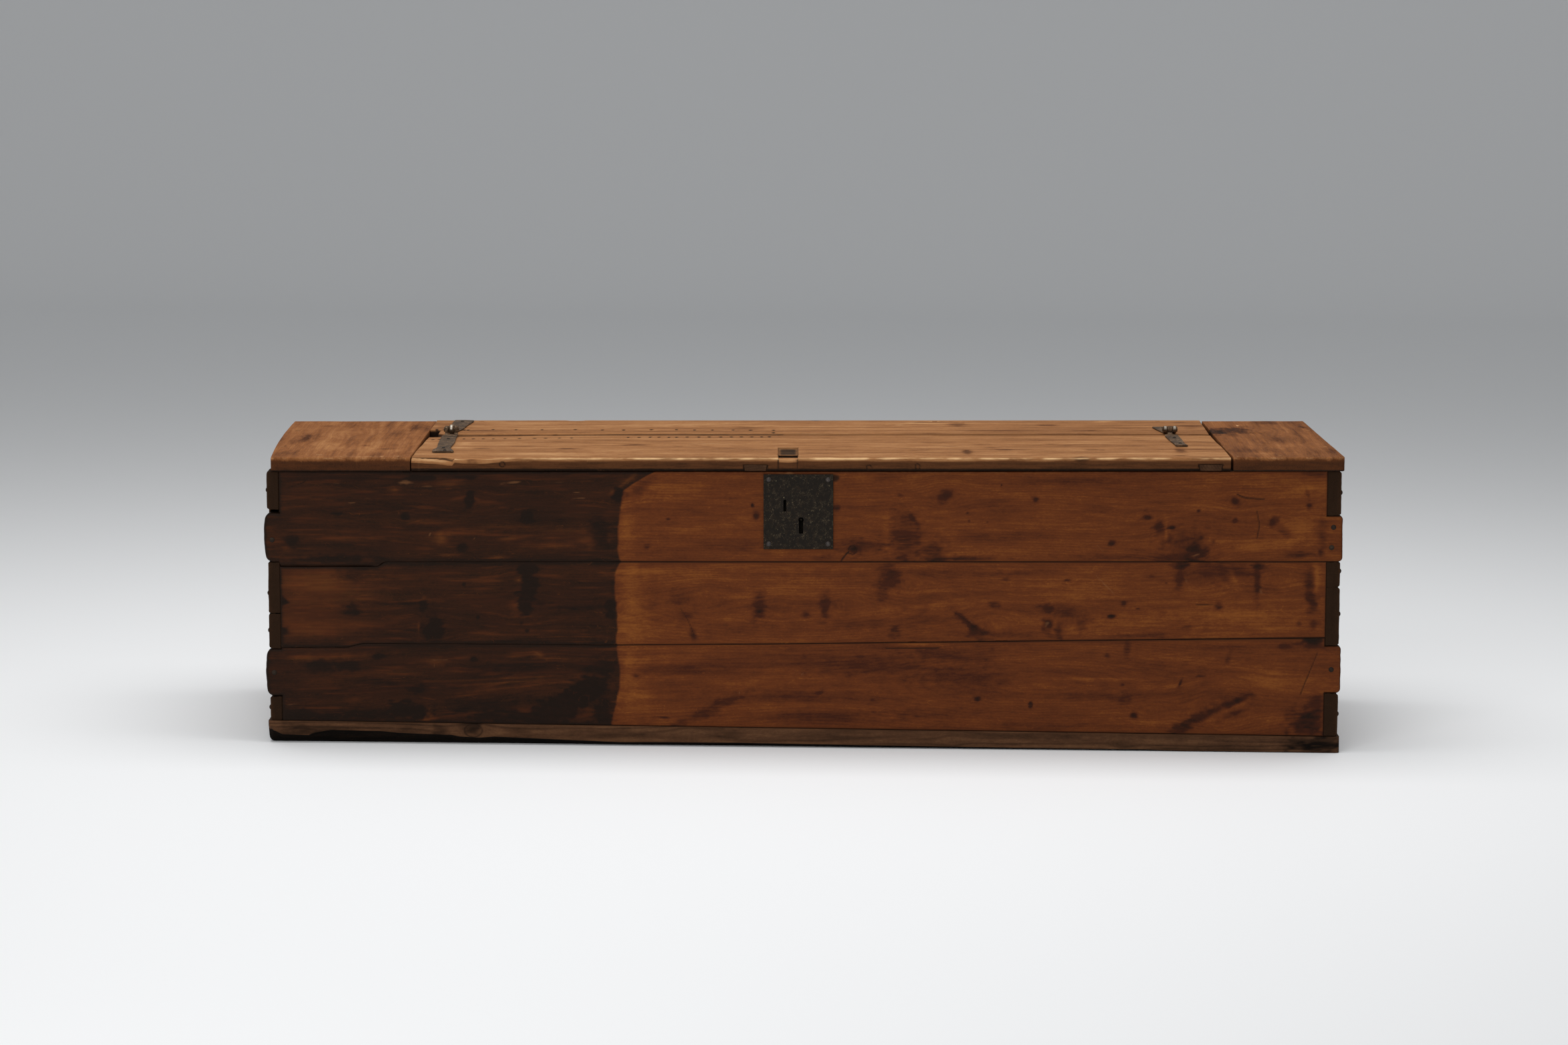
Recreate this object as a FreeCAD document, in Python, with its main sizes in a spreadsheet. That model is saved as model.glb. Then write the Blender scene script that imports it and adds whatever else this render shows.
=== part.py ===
import FreeCAD, Part
import math
import os
import Sketcher

# A long, low plank coffer of softwood. Millimetres, X along the length with +X to the
# right of someone facing the front, the front towards -Y, Z up, and the floor at Z = 0.
#
# The case is square in itself but stands 19 mm higher at its right end, because its base
# boards and lowest planks are cut to a taper. Everything is therefore drawn in the case's
# own square frame, and each piece's Placement leans it onto the floor.

Vector = FreeCAD.Vector
document = FreeCAD.newDocument("PlankCoffer")


# ---------------------------------------------------------------- driving dimensions

DRIVING_SIZES = {
    # the box
    "case_length": 1876,
    "case_depth": 548,
    "wall_top": 490,
    "end_lift": 19.3,
    "long_wall": 24,
    "left_wall": 21,
    "right_wall": 25,
    "finger_proud": 4,
    # seams between the planks of the front and rear walls
    "upper_seam": 330,
    "lower_seam_left": 178,
    "lower_seam_right": 196,
    # seams between the planks of the side walls
    "left_side_seam": 239,
    "right_side_seam": 285,
    # fingers at the corners: where each long-wall finger ends
    "left_high_finger": 416,
    "left_high_gap": 5,
    "left_low_finger": 176,
    "left_low_finger_foot": 92,
    "right_high_finger": 411,
    "right_low_finger": 181,
    "right_low_finger_foot": 97,
    # base boards
    "base_top_left": 48.9,
    "base_top_right": 19.5,
    "base_overhang": 3,
    "base_gap": 0.5,
    "wane_height": 22,
    "wane_depth": 26,
    "wane_end": 1.5,
    # boards of the top
    "end_board_thick": 25,
    "rear_board_thick": 26.5,
    "top_overhang": 6,
    "left_seam_place": 686,
    "right_seam_place": 747,
    "left_board_front_setback": 9,
    "left_board_rear_overhang": 14,
    "left_board_bow": 5,
    "right_board_front_overhang": 4,
    "right_board_rear_setback": 2,
    "right_board_corner": 8,
    "hinge_seam_place": 57,
    "lost_corner_width": 20,
    "lost_corner_depth": 73,
    "tongue_thick": 8,
    "tongue_length": 12,
    "tongue_margin": 5,
    "tongue_rise": 8,
    # hinged lid board
    "lid_thick": 23.5,
    "lid_rest_gap": 1,
    "lid_end_gap": 2.5,
    "lid_seam_gap": 3,
    "hasp_place": 28,
    "hasp_width": 34,
    "hasp_length": 146,
    "hasp_depth": 2.5,
    "hasp_slot_length": 34,
    "hasp_slot_setback": 18,
    # dovetailed battens under the lid
    "batten_root": 36,
    "batten_flare": 2,
    "batten_key": 10.5,
    "batten_length": 300,
    "batten_drop": 16,
    "batten_fit": 0.3,
    "batten_wall_clear": 6,
    "batten_left_place": 640,
    "batten_middle_place": 85,
    "batten_right_place": 708,
    "batten_left_setback": 14,
    # strap hinges
    "hinge_rise": 8.5,
    "hinge_plate": 3,
    "knuckle_round": 7,
    "eye_round": 8.5,
    "small_knuckle_round": 6,
    "hinge_pin_round": 3,
    "hinge_pin_fit": 0.05,
    "knuckle_gap": 0.4,
    "knuckle_lap": 0.4,
    "eye_width": 9,
    "side_knuckle_width": 7,
    "neck_length": 16,
    "rivet_head": 1.6,
    "rivet_head_round": 4.2,
    "left_hinge_place": 640,
    "right_hinge_place": 666,
    "left_strap_reach": 268,
    "right_strap_reach": 181,
    "left_leaf_reach": 203,
    "right_leaf_reach": 92,
    # lock
    "plate_width": 121.5,
    "plate_height": 131.5,
    "plate_thick": 2.5,
    "plate_place": 10,
    "plate_below_rim": 5.6,
    "keyhole_place": 5.4,
    "keyhole_height": 404,
    "keyhole_eye": 9.5,
    "keyhole_stem": 7.5,
    "keyhole_length": 24,
    "staple_place": 33.6,
    "staple_width": 5,
    "staple_length": 21,
    "mortise_width": 98,
    "mortise_height": 84,
    "cover_margin": 9,
    "cover_thick": 2,
    "bolt_height": 9,
    "bolt_thick": 5,
    "bolt_length": 66,
    "bolt_fit": 0.3,
    "bolt_clear": 2,
    "talon_width": 13,
    "talon_depth": 3,
    "guide_width": 6,
    "guide_wall": 3,
    "spring_thick": 1.2,
    "spring_width": 4,
    "key_pin_round": 1.75,
    "key_pin_setback": 8,
    # nails and pegs
    "nail_round": 2,
    "nail_head_round": 4.5,
    "nail_head_rise": 2.4,
    "wall_nail_length": 55,
    "base_nail_length": 70,
    "leaf_nail_length": 18,
    "leaf_nail_round": 1.5,
    "leaf_nail_head_round": 3.5,
    "plate_nail_length": 20,
    "plate_nail_inset": 9,
    "peg_round": 4.5,
    "peg_length": 48,
}

sheet = document.addObject("Spreadsheet::Sheet", "Sizes")
for row, (alias, value) in enumerate(DRIVING_SIZES.items(), start=1):
    sheet.set(f"A{row}", alias)
    sheet.set(f"B{row}", str(value))
    sheet.setAlias(f"B{row}", alias)
document.recompute()


class Size:
    """A dimension: its number, and the sheet expression that the number comes from."""

    def __init__(self, number, text):
        self.number = number
        self.text = text

    def __add__(self, other):
        other = as_size(other)
        return Size(self.number + other.number, f"({self.text} + {other.text})")

    def __sub__(self, other):
        other = as_size(other)
        return Size(self.number - other.number, f"({self.text} - {other.text})")

    def __mul__(self, other):
        other = as_size(other)
        return Size(self.number * other.number, f"({self.text} * {other.text})")

    def __truediv__(self, other):
        other = as_size(other)
        return Size(self.number / other.number, f"({self.text} / {other.text})")

    def __neg__(self):
        return Size(-self.number, f"(0 - {self.text})")


def as_size(value):
    return value if isinstance(value, Size) else Size(float(value), str(value))


def size(alias):
    """The driving dimension of that name."""
    return Size(float(DRIVING_SIZES[alias]), f"Sizes.{alias}")


def between(first, second, share):
    """The place that lies a share of the way from the first place to the second."""
    return first + (second - first) * share


# ---------------------------------------------------------------- shared places

half_length = size("case_length") / 2
outer_face = size("case_depth") / 2
inner_face = outer_face - size("long_wall")
left_inside = size("left_wall") - half_length
right_inside = half_length - size("right_wall")
finger_reach = half_length + size("finger_proud")
base_reach = half_length + size("base_overhang")
wall_top = size("wall_top")
left_board_reach = half_length + size("left_board_rear_overhang")
upper_seam = size("upper_seam")
top_half_depth = outer_face + size("top_overhang")
lean = size("end_lift") / size("case_length")


def floor_at(x):
    """Height of the floor in the case's own frame."""
    return -(lean * x)


def base_top_at(x):
    """Height of the base boards' sloping top."""
    slope = (size("base_top_right") - size("base_top_left")) / size("case_length")
    return size("base_top_left") + slope * (x + half_length)


def lower_seam_at(x):
    """Height of the sloping seam between the middle and bottom planks."""
    slope = (size("lower_seam_right") - size("lower_seam_left")) / size("case_length")
    return size("lower_seam_left") + slope * (x + half_length)


# The leaning case reaches further out at the left of its top than at the right of its
# base, so it is moved until the middle of the whole stands over the origin.
left_most = left_board_reach + (wall_top + size("end_board_thick")) * lean
right_most = base_reach + base_reach * lean * lean
side_shift = (left_most - right_most) / 2


def lean_onto_floor(piece):
    """Give a piece the Placement that all of the case shares."""
    angle = Size(math.degrees(math.atan(lean.number)), f"atan({lean.text})")
    turn = FreeCAD.Rotation(Vector(0, -1, 0), angle.number)
    piece.Placement = FreeCAD.Placement(Vector(side_shift.number, 0, 0), turn)
    piece.setExpression(".Placement.Base.x", side_shift.text)
    piece.setExpression(".Placement.Rotation.Angle", angle.text)


# ---------------------------------------------------------------- drawing helpers

def new_body(label):
    """An empty body that leans with the case."""
    body = document.addObject("PartDesign::Body", label)
    body.Label = label
    lean_onto_floor(body)
    return body


def sketch_on(body, plane, offset):
    """A sketch parallel to an origin plane, moved along the plane's own normal.

    The normal of XY is +Z, that of YZ is +X, and that of XZ is -Y.
    """
    sketch = body.newObject("Sketcher::SketchObject", "Outline")
    origin_plane = next(f for f in body.Origin.OriginFeatures if f.Role == plane)
    sketch.AttachmentSupport = (origin_plane, [""])
    sketch.MapMode = "FlatFace"
    sketch.AttachmentOffset = FreeCAD.Placement(Vector(0, 0, offset.number),
                                                FreeCAD.Rotation())
    sketch.setExpression(".AttachmentOffset.Base.z", offset.text)
    return sketch


def arc_edge(start, end, radius):
    """Arc from start to end that bulges to the right of the way, as a circle's part."""
    chord = end - start
    middle = (start + end) * 0.5
    reach = math.sqrt(radius ** 2 - (chord.Length / 2) ** 2)
    leftward = Vector(-chord.y, chord.x, 0).normalize()
    centre = middle + leftward * reach
    first = math.atan2(start.y - centre.y, start.x - centre.x)
    last = math.atan2(end.y - centre.y, end.x - centre.x)
    circle = Part.Circle(centre, Vector(0, 0, 1), radius)
    return Part.ArcOfCircle(circle, first, last)


def draw_outline(sketch, corners, arcs=None):
    """Close a line round the corners, each a pair of sizes, named anticlockwise.

    arcs gives the radius of each edge that is round: it bulges outwards. The edge is
    named by the number of the corner that it starts from.
    """
    arcs = arcs or {}
    points = [Vector(x.number, y.number, 0) for x, y in corners]
    count = len(points)
    for index in range(count):
        start = points[index]
        end = points[(index + 1) % count]
        if index in arcs:
            sketch.addGeometry(arc_edge(start, end, arcs[index].number))
        else:
            sketch.addGeometry(Part.LineSegment(start, end))
    for index in range(count):
        sketch.addConstraint(Sketcher.Constraint("Coincident", index, 2,
                                                 (index + 1) % count, 1))
    for index, (x, y) in enumerate(corners):
        for kind, place in (("DistanceX", x), ("DistanceY", y)):
            number = sketch.addConstraint(
                Sketcher.Constraint(kind, -1, 1, index, 1, place.number))
            sketch.setExpression(f"Constraints[{number}]", place.text)
    for index, radius in arcs.items():
        number = sketch.addConstraint(
            Sketcher.Constraint("Radius", index, radius.number))
        sketch.setExpression(f"Constraints[{number}]", radius.text)


def draw_circle(sketch, x, y, radius):
    """A full circle about a pair of sizes."""
    circle = Part.Circle(Vector(x.number, y.number, 0), Vector(0, 0, 1), radius.number)
    index = sketch.addGeometry(circle)
    for kind, place in (("DistanceX", x), ("DistanceY", y)):
        number = sketch.addConstraint(
            Sketcher.Constraint(kind, -1, 1, index, 3, place.number))
        sketch.setExpression(f"Constraints[{number}]", place.text)
    number = sketch.addConstraint(Sketcher.Constraint("Radius", index, radius.number))
    sketch.setExpression(f"Constraints[{number}]", radius.text)


def rectangle(x_low, y_low, x_high, y_high):
    """The four corners of an upright rectangle."""
    return [(x_low, y_low), (x_high, y_low), (x_high, y_high), (x_low, y_high)]


def pad(body, plane, offset, corners, length, arcs=None):
    """Add what an outline fills when it is carried along its plane's normal."""
    sketch = sketch_on(body, plane, offset)
    draw_outline(sketch, corners, arcs)
    feature = body.newObject("PartDesign::Pad", "Pad")
    feature.Profile = sketch
    feature.Length = length.number
    feature.setExpression("Length", length.text)


def pad_round(body, plane, offset, centre, radius, length):
    """Add a cylinder that starts on a plane and runs along its normal."""
    sketch = sketch_on(body, plane, offset)
    draw_circle(sketch, centre[0], centre[1], radius)
    feature = body.newObject("PartDesign::Pad", "Barrel")
    feature.Profile = sketch
    feature.Length = length.number
    feature.setExpression("Length", length.text)


def cut(body, sketch, length=None):
    """Take a sketch's area out of the body, against its normal or right through.

    Raises an error if nothing was cut.
    """
    document.recompute()
    before = body.Shape.Volume
    feature = body.newObject("PartDesign::Pocket", "Cut")
    feature.Profile = sketch
    if length is None:
        feature.Type = "ThroughAll"
        feature.Midplane = True
    else:
        feature.Length = length.number
        feature.setExpression("Length", length.text)
    document.recompute()
    if body.Shape.Volume > before - 1:
        raise RuntimeError(f"{body.Label}: a cut took nothing away")


def pocket(body, plane, offset, corners, length=None, arcs=None):
    """Cut an outline out of the body."""
    sketch = sketch_on(body, plane, offset)
    draw_outline(sketch, corners, arcs)
    cut(body, sketch, length)


def bore(body, plane, offset, centre, radius, length=None):
    """Cut a round hole out of the body."""
    sketch = sketch_on(body, plane, offset)
    draw_circle(sketch, centre[0], centre[1], radius)
    cut(body, sketch, length)


# ---------------------------------------------------------------- front and rear walls

def wall_plank(label, outline, offset):
    """A plank of a long wall: its outline in XZ, carried through the wall's thickness."""
    body = new_body(label)
    pad(body, "XZ_Plane", offset, outline, size("long_wall"))
    return body


TOP_PLANK_OUTLINE = [
    (left_inside, wall_top),
    (left_inside, size("left_high_finger")),
    (-finger_reach, size("left_high_finger")),
    (-finger_reach, upper_seam),
    (finger_reach, upper_seam),
    (finger_reach, size("right_high_finger")),
    (right_inside, size("right_high_finger")),
    (right_inside, wall_top),
]
MIDDLE_PLANK_OUTLINE = [
    (left_inside, upper_seam),
    (left_inside, lower_seam_at(left_inside)),
    (right_inside, lower_seam_at(right_inside)),
    (right_inside, upper_seam),
]
BOTTOM_PLANK_OUTLINE = [
    (left_inside, lower_seam_at(left_inside)),
    (left_inside, size("left_low_finger")),
    (-finger_reach, size("left_low_finger")),
    (-finger_reach, size("left_low_finger_foot")),
    (left_inside, size("left_low_finger_foot")),
    (left_inside, base_top_at(left_inside)),
    (right_inside, base_top_at(right_inside)),
    (right_inside, size("right_low_finger_foot")),
    (finger_reach, size("right_low_finger_foot")),
    (finger_reach, size("right_low_finger")),
    (right_inside, size("right_low_finger")),
    (right_inside, lower_seam_at(right_inside)),
]
WALL_OUTLINES = {
    "plank_top": TOP_PLANK_OUTLINE,
    "plank_middle": MIDDLE_PLANK_OUTLINE,
    "plank_bottom": BOTTOM_PLANK_OUTLINE,
}

blanks = {}
for side, offset in (("front", inner_face), ("rear", -outer_face)):
    for name, outline in WALL_OUTLINES.items():
        label = f"{side}_{name}"
        blanks[label] = wall_plank(f"{label}_blank", outline, offset)

# A mortise behind the lock plate houses the bolt work.
mortise_middle = -size("plate_place")
mortise_left = mortise_middle - size("mortise_width") / 2
mortise_right = mortise_middle + size("mortise_width") / 2
plate_top = wall_top - size("plate_below_rim")
plate_foot = plate_top - size("plate_height")
mortise_foot = between(plate_foot, plate_top, 0.5) - size("mortise_height") / 2
mortise_top = mortise_foot + size("mortise_height")
pocket(blanks["front_plank_top"], "XZ_Plane", outer_face,
       rectangle(mortise_left, mortise_foot, mortise_right, mortise_top))


# ---------------------------------------------------------------- side walls

def side_plank(label, offset, thick, steps):
    """A plank of a side wall, drawn in YZ and symmetric from front to rear.

    steps lists (height, face) from the top down: the plank reaches that face below
    that height.
    """
    front = []
    for (height, face), (below, _) in zip(steps, steps[1:]):
        front += [(-face, height), (-face, below)]
    rear = [(-y, z) for y, z in reversed(front)]
    body = new_body(label)
    pad(body, "YZ_Plane", offset, front + rear, thick)
    return body


def trim_to_base(body, outer_x, inner_x):
    """Cut the foot of a side wall to the slope of the base boards."""
    waste = size("long_wall")
    low, high = sorted((outer_x, inner_x), key=lambda place: place.number)
    pocket(body, "XZ_Plane", as_size(0), [
        (low, base_top_at(low)),
        (low, base_top_at(low) - waste),
        (high, base_top_at(high) - waste),
        (high, base_top_at(high)),
    ])


left_trim = base_top_at(-half_length) - size("finger_proud")
right_trim = base_top_at(half_length) - size("finger_proud")

blanks["left_side_plank_upper"] = side_plank(
    "left_side_plank_upper_blank", -half_length, size("left_wall"), [
        (wall_top, outer_face),
        (size("left_high_finger") + size("left_high_gap"), inner_face),
        (upper_seam, outer_face),
        (size("left_side_seam"), outer_face),
    ])
blanks["left_side_plank_lower"] = side_plank(
    "left_side_plank_lower_blank", -half_length, size("left_wall"), [
        (size("left_side_seam"), outer_face),
        (size("left_low_finger"), inner_face),
        (size("left_low_finger_foot"), outer_face),
        (left_trim, outer_face),
    ])
trim_to_base(blanks["left_side_plank_lower"], -half_length, left_inside)

blanks["right_side_plank_upper"] = side_plank(
    "right_side_plank_upper_blank", right_inside, size("right_wall"), [
        (wall_top, outer_face),
        (size("right_high_finger"), inner_face),
        (upper_seam, outer_face),
        (size("right_side_seam"), outer_face),
    ])
blanks["right_side_plank_lower"] = side_plank(
    "right_side_plank_lower_blank", right_inside, size("right_wall"), [
        (size("right_side_seam"), outer_face),
        (size("right_low_finger"), inner_face),
        (size("right_low_finger_foot"), outer_face),
        (right_trim, outer_face),
    ])
trim_to_base(blanks["right_side_plank_lower"], half_length, right_inside)


# ---------------------------------------------------------------- base boards

base_half_depth = outer_face + size("base_overhang")
base_width = (base_half_depth * 2 - size("base_gap") * 2) / 3
BASE_OUTLINE = [
    (-base_reach, base_top_at(-base_reach)),
    (-base_reach, floor_at(-base_reach)),
    (base_reach, floor_at(base_reach)),
    (base_reach, base_top_at(base_reach)),
]
base_front_edge = -base_half_depth
for number, name in enumerate(("front", "middle", "rear")):
    label = f"base_board_{name}"
    far_edge = base_front_edge + base_width + (base_width + size("base_gap")) * number
    body = new_body(f"{label}_blank")
    pad(body, "XZ_Plane", -far_edge, BASE_OUTLINE, base_width)
    blanks[label] = body


def wane_section(body, x, height, depth):
    """The corner that is missing from the front board's lower edge, at one end."""
    sketch = sketch_on(body, "YZ_Plane", x)
    out = base_front_edge - 1
    draw_outline(sketch, [
        (out, floor_at(x) - 1),
        (base_front_edge + depth, floor_at(x) - 1),
        (base_front_edge + depth, floor_at(x)),
        (base_front_edge, floor_at(x) + height),
        (out, floor_at(x) + height),
    ])
    return sketch


front_board = blanks["base_board_front"]
wane = front_board.newObject("PartDesign::SubtractiveLoft", "Wane")
wane.Profile = wane_section(front_board, -base_reach, size("wane_height"),
                            size("wane_depth"))
wane.Sections = [wane_section(front_board, base_reach, size("wane_end"),
                              size("wane_end"))]


# ---------------------------------------------------------------- fixed boards of the top

left_seam = -size("left_seam_place")
right_seam = size("right_seam_place")
hinge_seam = size("hinge_seam_place")
end_board_top = wall_top + size("end_board_thick")
rear_board_top = wall_top + size("rear_board_thick")

left_front = size("left_board_front_setback") - half_length
left_rear = -left_board_reach
left_bow = size("left_board_bow")
left_chord = top_half_depth * 2
left_edge_radius = left_chord * left_chord / (left_bow * 8) + left_bow / 2

body = new_body("left_end_board_blank")
pad(body, "XY_Plane", wall_top, [
    (left_seam, -top_half_depth),
    (left_seam, top_half_depth),
    (left_rear, top_half_depth),
    (left_front, -top_half_depth),
], size("end_board_thick"), arcs={2: left_edge_radius})
blanks["left_end_board"] = body

right_front = half_length + size("right_board_front_overhang")
right_rear = half_length - size("right_board_rear_setback")
corner = size("right_board_corner")
body = new_body("right_end_board_blank")
pad(body, "XY_Plane", wall_top, [
    (right_seam, -top_half_depth),
    (right_front - corner, -top_half_depth),
    (right_front, corner - top_half_depth),
    (right_rear, top_half_depth),
    (right_seam, top_half_depth),
], size("end_board_thick"), arcs={1: corner})
blanks["right_end_board"] = body

# The rear board has lost its front left corner. Tongues on its ends sit in grooves in
# the end boards, which carry its front edge.
lost_right = left_seam + size("lost_corner_width")
lost_rear = hinge_seam + size("lost_corner_depth")
body = new_body("rear_top_board_blank")
pad(body, "XY_Plane", wall_top, [
    (lost_right, hinge_seam),
    (right_seam, hinge_seam),
    (right_seam, top_half_depth),
    (left_seam, top_half_depth),
    (left_seam, lost_rear),
    (lost_right, lost_rear),
], size("rear_board_thick"))
tongue_foot = wall_top + size("tongue_rise")
tongue_top = tongue_foot + size("tongue_thick")
tongue_rear = top_half_depth - size("tongue_margin")
left_tongue = rectangle(lost_rear + size("tongue_margin"), tongue_foot,
                        tongue_rear, tongue_top)
right_tongue = rectangle(hinge_seam + size("tongue_margin"), tongue_foot,
                         tongue_rear, tongue_top)
tongue_length = size("tongue_length")
pad(body, "YZ_Plane", left_seam - tongue_length, left_tongue, tongue_length)
pad(body, "YZ_Plane", right_seam, right_tongue, tongue_length)
blanks["rear_top_board"] = body
pocket(blanks["left_end_board"], "YZ_Plane", left_seam, left_tongue, tongue_length)
pocket(blanks["right_end_board"], "YZ_Plane", right_seam + tongue_length,
       right_tongue, tongue_length)


# ---------------------------------------------------------------- lid board and battens

lid_left = left_seam + size("lid_end_gap")
lid_right = right_seam - size("lid_end_gap")
lid_front = -top_half_depth
lid_rear = hinge_seam - size("lid_seam_gap")
lid_foot = wall_top + size("lid_rest_gap")
lid_top = lid_foot + size("lid_thick")

lid = new_body("lid_board_blank")
pad(lid, "XY_Plane", lid_foot, rectangle(lid_left, lid_front, lid_right, lid_rear),
    size("lid_thick"))

# Let-in strip where the hasp once lay, and the hole that its strap went down through.
hasp_left = -size("hasp_place") - size("hasp_width") / 2
hasp_right = hasp_left + size("hasp_width")
pocket(lid, "XY_Plane", lid_top,
       rectangle(hasp_left, lid_front, hasp_right, lid_front + size("hasp_length")),
       size("hasp_depth"))
slot_front = lid_front + size("hasp_slot_setback")
pocket(lid, "XY_Plane", lid_top,
       rectangle(hasp_left, slot_front, hasp_right, slot_front + size("hasp_slot_length")))


def dovetail(middle, fit):
    """A dovetail key's outline under the lid, with fit added on each side."""
    root = size("batten_root") / 2 + fit
    flare = root + size("batten_flare")
    key_top = lid_foot + size("batten_key") + fit
    return [
        (middle - root, lid_foot),
        (middle + root, lid_foot),
        (middle + flare, key_top),
        (middle - flare, key_top),
    ]


BATTENS = {
    "left": (-size("batten_left_place"), size("batten_left_setback")),
    "middle": (-size("batten_middle_place"), as_size(0)),
    "right": (size("batten_right_place"), as_size(0)),
}
no_fit = as_size(0)
batten_fit = size("batten_fit")
for name, (middle, setback) in BATTENS.items():
    start = lid_front + setback
    length = size("batten_length") - setback
    pocket(lid, "XZ_Plane", -start, dovetail(middle, batten_fit), length)
    body = new_body(f"lid_batten_{name}_blank")
    key_length = length - batten_fit
    pad(body, "XZ_Plane", -(start + key_length), dovetail(middle, no_fit), key_length)
    # Behind the front wall the batten drops below the lid.
    drop_front = size("batten_wall_clear") - inner_face
    half_root = size("batten_root") / 2
    pad(body, "XZ_Plane", -(start + key_length), rectangle(
        middle - half_root, lid_foot - size("batten_drop"), middle + half_root, lid_foot),
        start + key_length - drop_front)
    blanks[f"lid_batten_{name}"] = body
blanks["lid_board"] = lid


# ---------------------------------------------------------------- strap hinges

pivot_y = hinge_seam - size("lid_seam_gap") / 2
pivot_z = rear_board_top + size("hinge_rise")
plate = size("hinge_plate")
pin_hole = size("hinge_pin_round") + size("hinge_pin_fit")
eye_half = size("eye_width") / 2
side_start = eye_half + size("knuckle_gap")
side_width = size("side_knuckle_width")


# The neck meets the roll at a point this share of the radius below the pin, and beside it.
NECK_DROP_SHARE = 0.5
NECK_SIDE_SHARE = 0.86


def knuckle(body, x_start, width, radius, foot, rearward):
    """One knuckle and the neck that leads from its plate up into the roll."""
    pad_round(body, "YZ_Plane", x_start, (pivot_y, pivot_z), radius, width)
    way = 1 if rearward else -1
    drop = radius * NECK_DROP_SHARE
    side = radius * NECK_SIDE_SHARE
    inner_edge = pivot_y - size("knuckle_lap") * way
    neck = [
        (inner_edge, foot),
        (pivot_y + size("neck_length") * way, foot),
        (pivot_y + side * way, pivot_z - drop),
        (inner_edge, pivot_z - drop),
    ]
    if not rearward:
        neck.reverse()
    pad(body, "YZ_Plane", x_start, neck, width)


def outer_knuckles(body, centre, radius, foot, rearward):
    """The two knuckles that stand on each side of the middle one."""
    for x_start in (centre - side_start - side_width, centre + side_start):
        knuckle(body, x_start, side_width, radius, foot, rearward)


left_hinge = -size("left_hinge_place")
right_hinge = size("right_hinge_place")
strap_rear = pivot_y - size("neck_length") / 2
leaf_front = pivot_y + size("neck_length") / 2

# How wide each plate is along its reach: (share of the reach, left edge, right edge),
# both edges in millimetres from the middle of the hinge's knuckles.
LEFT_STRAP_STATIONS = [(0.0, -12.5, 12.5), (0.4, -14, 16), (0.84, -8.5, 16), (1.0, -12, 25)]
LEFT_LEAF_STATIONS = [(0.0, -4.5, 4.5), (0.12, -8, 9), (0.26, -9, 18), (0.6, -11, 21),
                      (0.93, -10.5, 27), (1.0, -10, 9)]
RIGHT_STRAP_STATIONS = [(0.0, -4.5, 4.5), (0.05, -10, 11), (0.75, -6, 15), (1.0, -6.5, 16.5)]
RIGHT_LEAF_STATIONS = [(0.0, -11.5, 11.5), (0.3, -14, 13), (0.64, -18.5, 16), (1.0, -24, 21)]


def plate_outline(middle, root, end, stations):
    """A forged plate in XY, from its stations, as corners named anticlockwise."""
    left = [(middle + low, between(root, end, share)) for share, low, _ in stations]
    right = [(middle + high, between(root, end, share)) for share, _, high in stations]
    if end.number > root.number:
        return right + left[::-1]
    return left + right[::-1]


def hinge_leaf(label, foot, outline, build_knuckles):
    """A forged plate with its knuckles, bored for the pin."""
    body = new_body(label)
    pad(body, "XY_Plane", foot, outline, plate)
    build_knuckles(body)
    bore(body, "YZ_Plane", as_size(0), (pivot_y, pivot_z), pin_hole)
    return body


left_strap_end = pivot_y - size("left_strap_reach")
blanks["left_hinge_strap"] = hinge_leaf(
    "left_hinge_strap_blank", lid_top,
    plate_outline(left_hinge, strap_rear, left_strap_end, LEFT_STRAP_STATIONS),
    lambda body: outer_knuckles(body, left_hinge, size("knuckle_round"), lid_top, False))

left_leaf_end = pivot_y + size("left_leaf_reach")
blanks["left_hinge_leaf"] = hinge_leaf(
    "left_hinge_leaf_blank", rear_board_top,
    plate_outline(left_hinge, leaf_front, left_leaf_end, LEFT_LEAF_STATIONS),
    lambda body: knuckle(body, left_hinge - eye_half, size("eye_width"),
                         size("eye_round"), rear_board_top, True))

right_strap_end = pivot_y - size("right_strap_reach")
blanks["right_hinge_strap"] = hinge_leaf(
    "right_hinge_strap_blank", lid_top,
    plate_outline(right_hinge, strap_rear, right_strap_end, RIGHT_STRAP_STATIONS),
    lambda body: knuckle(body, right_hinge - eye_half, size("eye_width"),
                         size("small_knuckle_round"), lid_top, False))

right_leaf_end = pivot_y + size("right_leaf_reach")
blanks["right_hinge_leaf"] = hinge_leaf(
    "right_hinge_leaf_blank", rear_board_top,
    plate_outline(right_hinge, leaf_front, right_leaf_end, RIGHT_LEAF_STATIONS),
    lambda body: outer_knuckles(body, right_hinge, size("small_knuckle_round"),
                                rear_board_top, True))

finished = {}


def hinge_pin(label, centre):
    """A pin as long as its three knuckles, with a riveted head at each end."""
    body = new_body(label)
    reach = side_start + side_width + size("knuckle_gap") / 2
    head = size("rivet_head")
    middle = (pivot_y, pivot_z)
    pad_round(body, "YZ_Plane", centre - reach - head, middle,
              size("hinge_pin_round"), (reach + head) * 2)
    for start in (centre - reach - head, centre + reach):
        pad_round(body, "YZ_Plane", start, middle, size("rivet_head_round"), head)
    finished[label] = body


hinge_pin("left_hinge_pin", left_hinge)
hinge_pin("right_hinge_pin", right_hinge)


# ---------------------------------------------------------------- lock

plate_left = mortise_middle - size("plate_width") / 2
plate_right = plate_left + size("plate_width")
keyhole_x = -size("keyhole_place")
keyhole_z = size("keyhole_height")
staple_x = -size("staple_place")
half_bolt = size("bolt_height") / 2
eye_radius = size("keyhole_eye") / 2
bolt_middle = keyhole_z + size("keyhole_length") + size("talon_depth") / 2
bolt_fit = size("bolt_fit")

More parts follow.
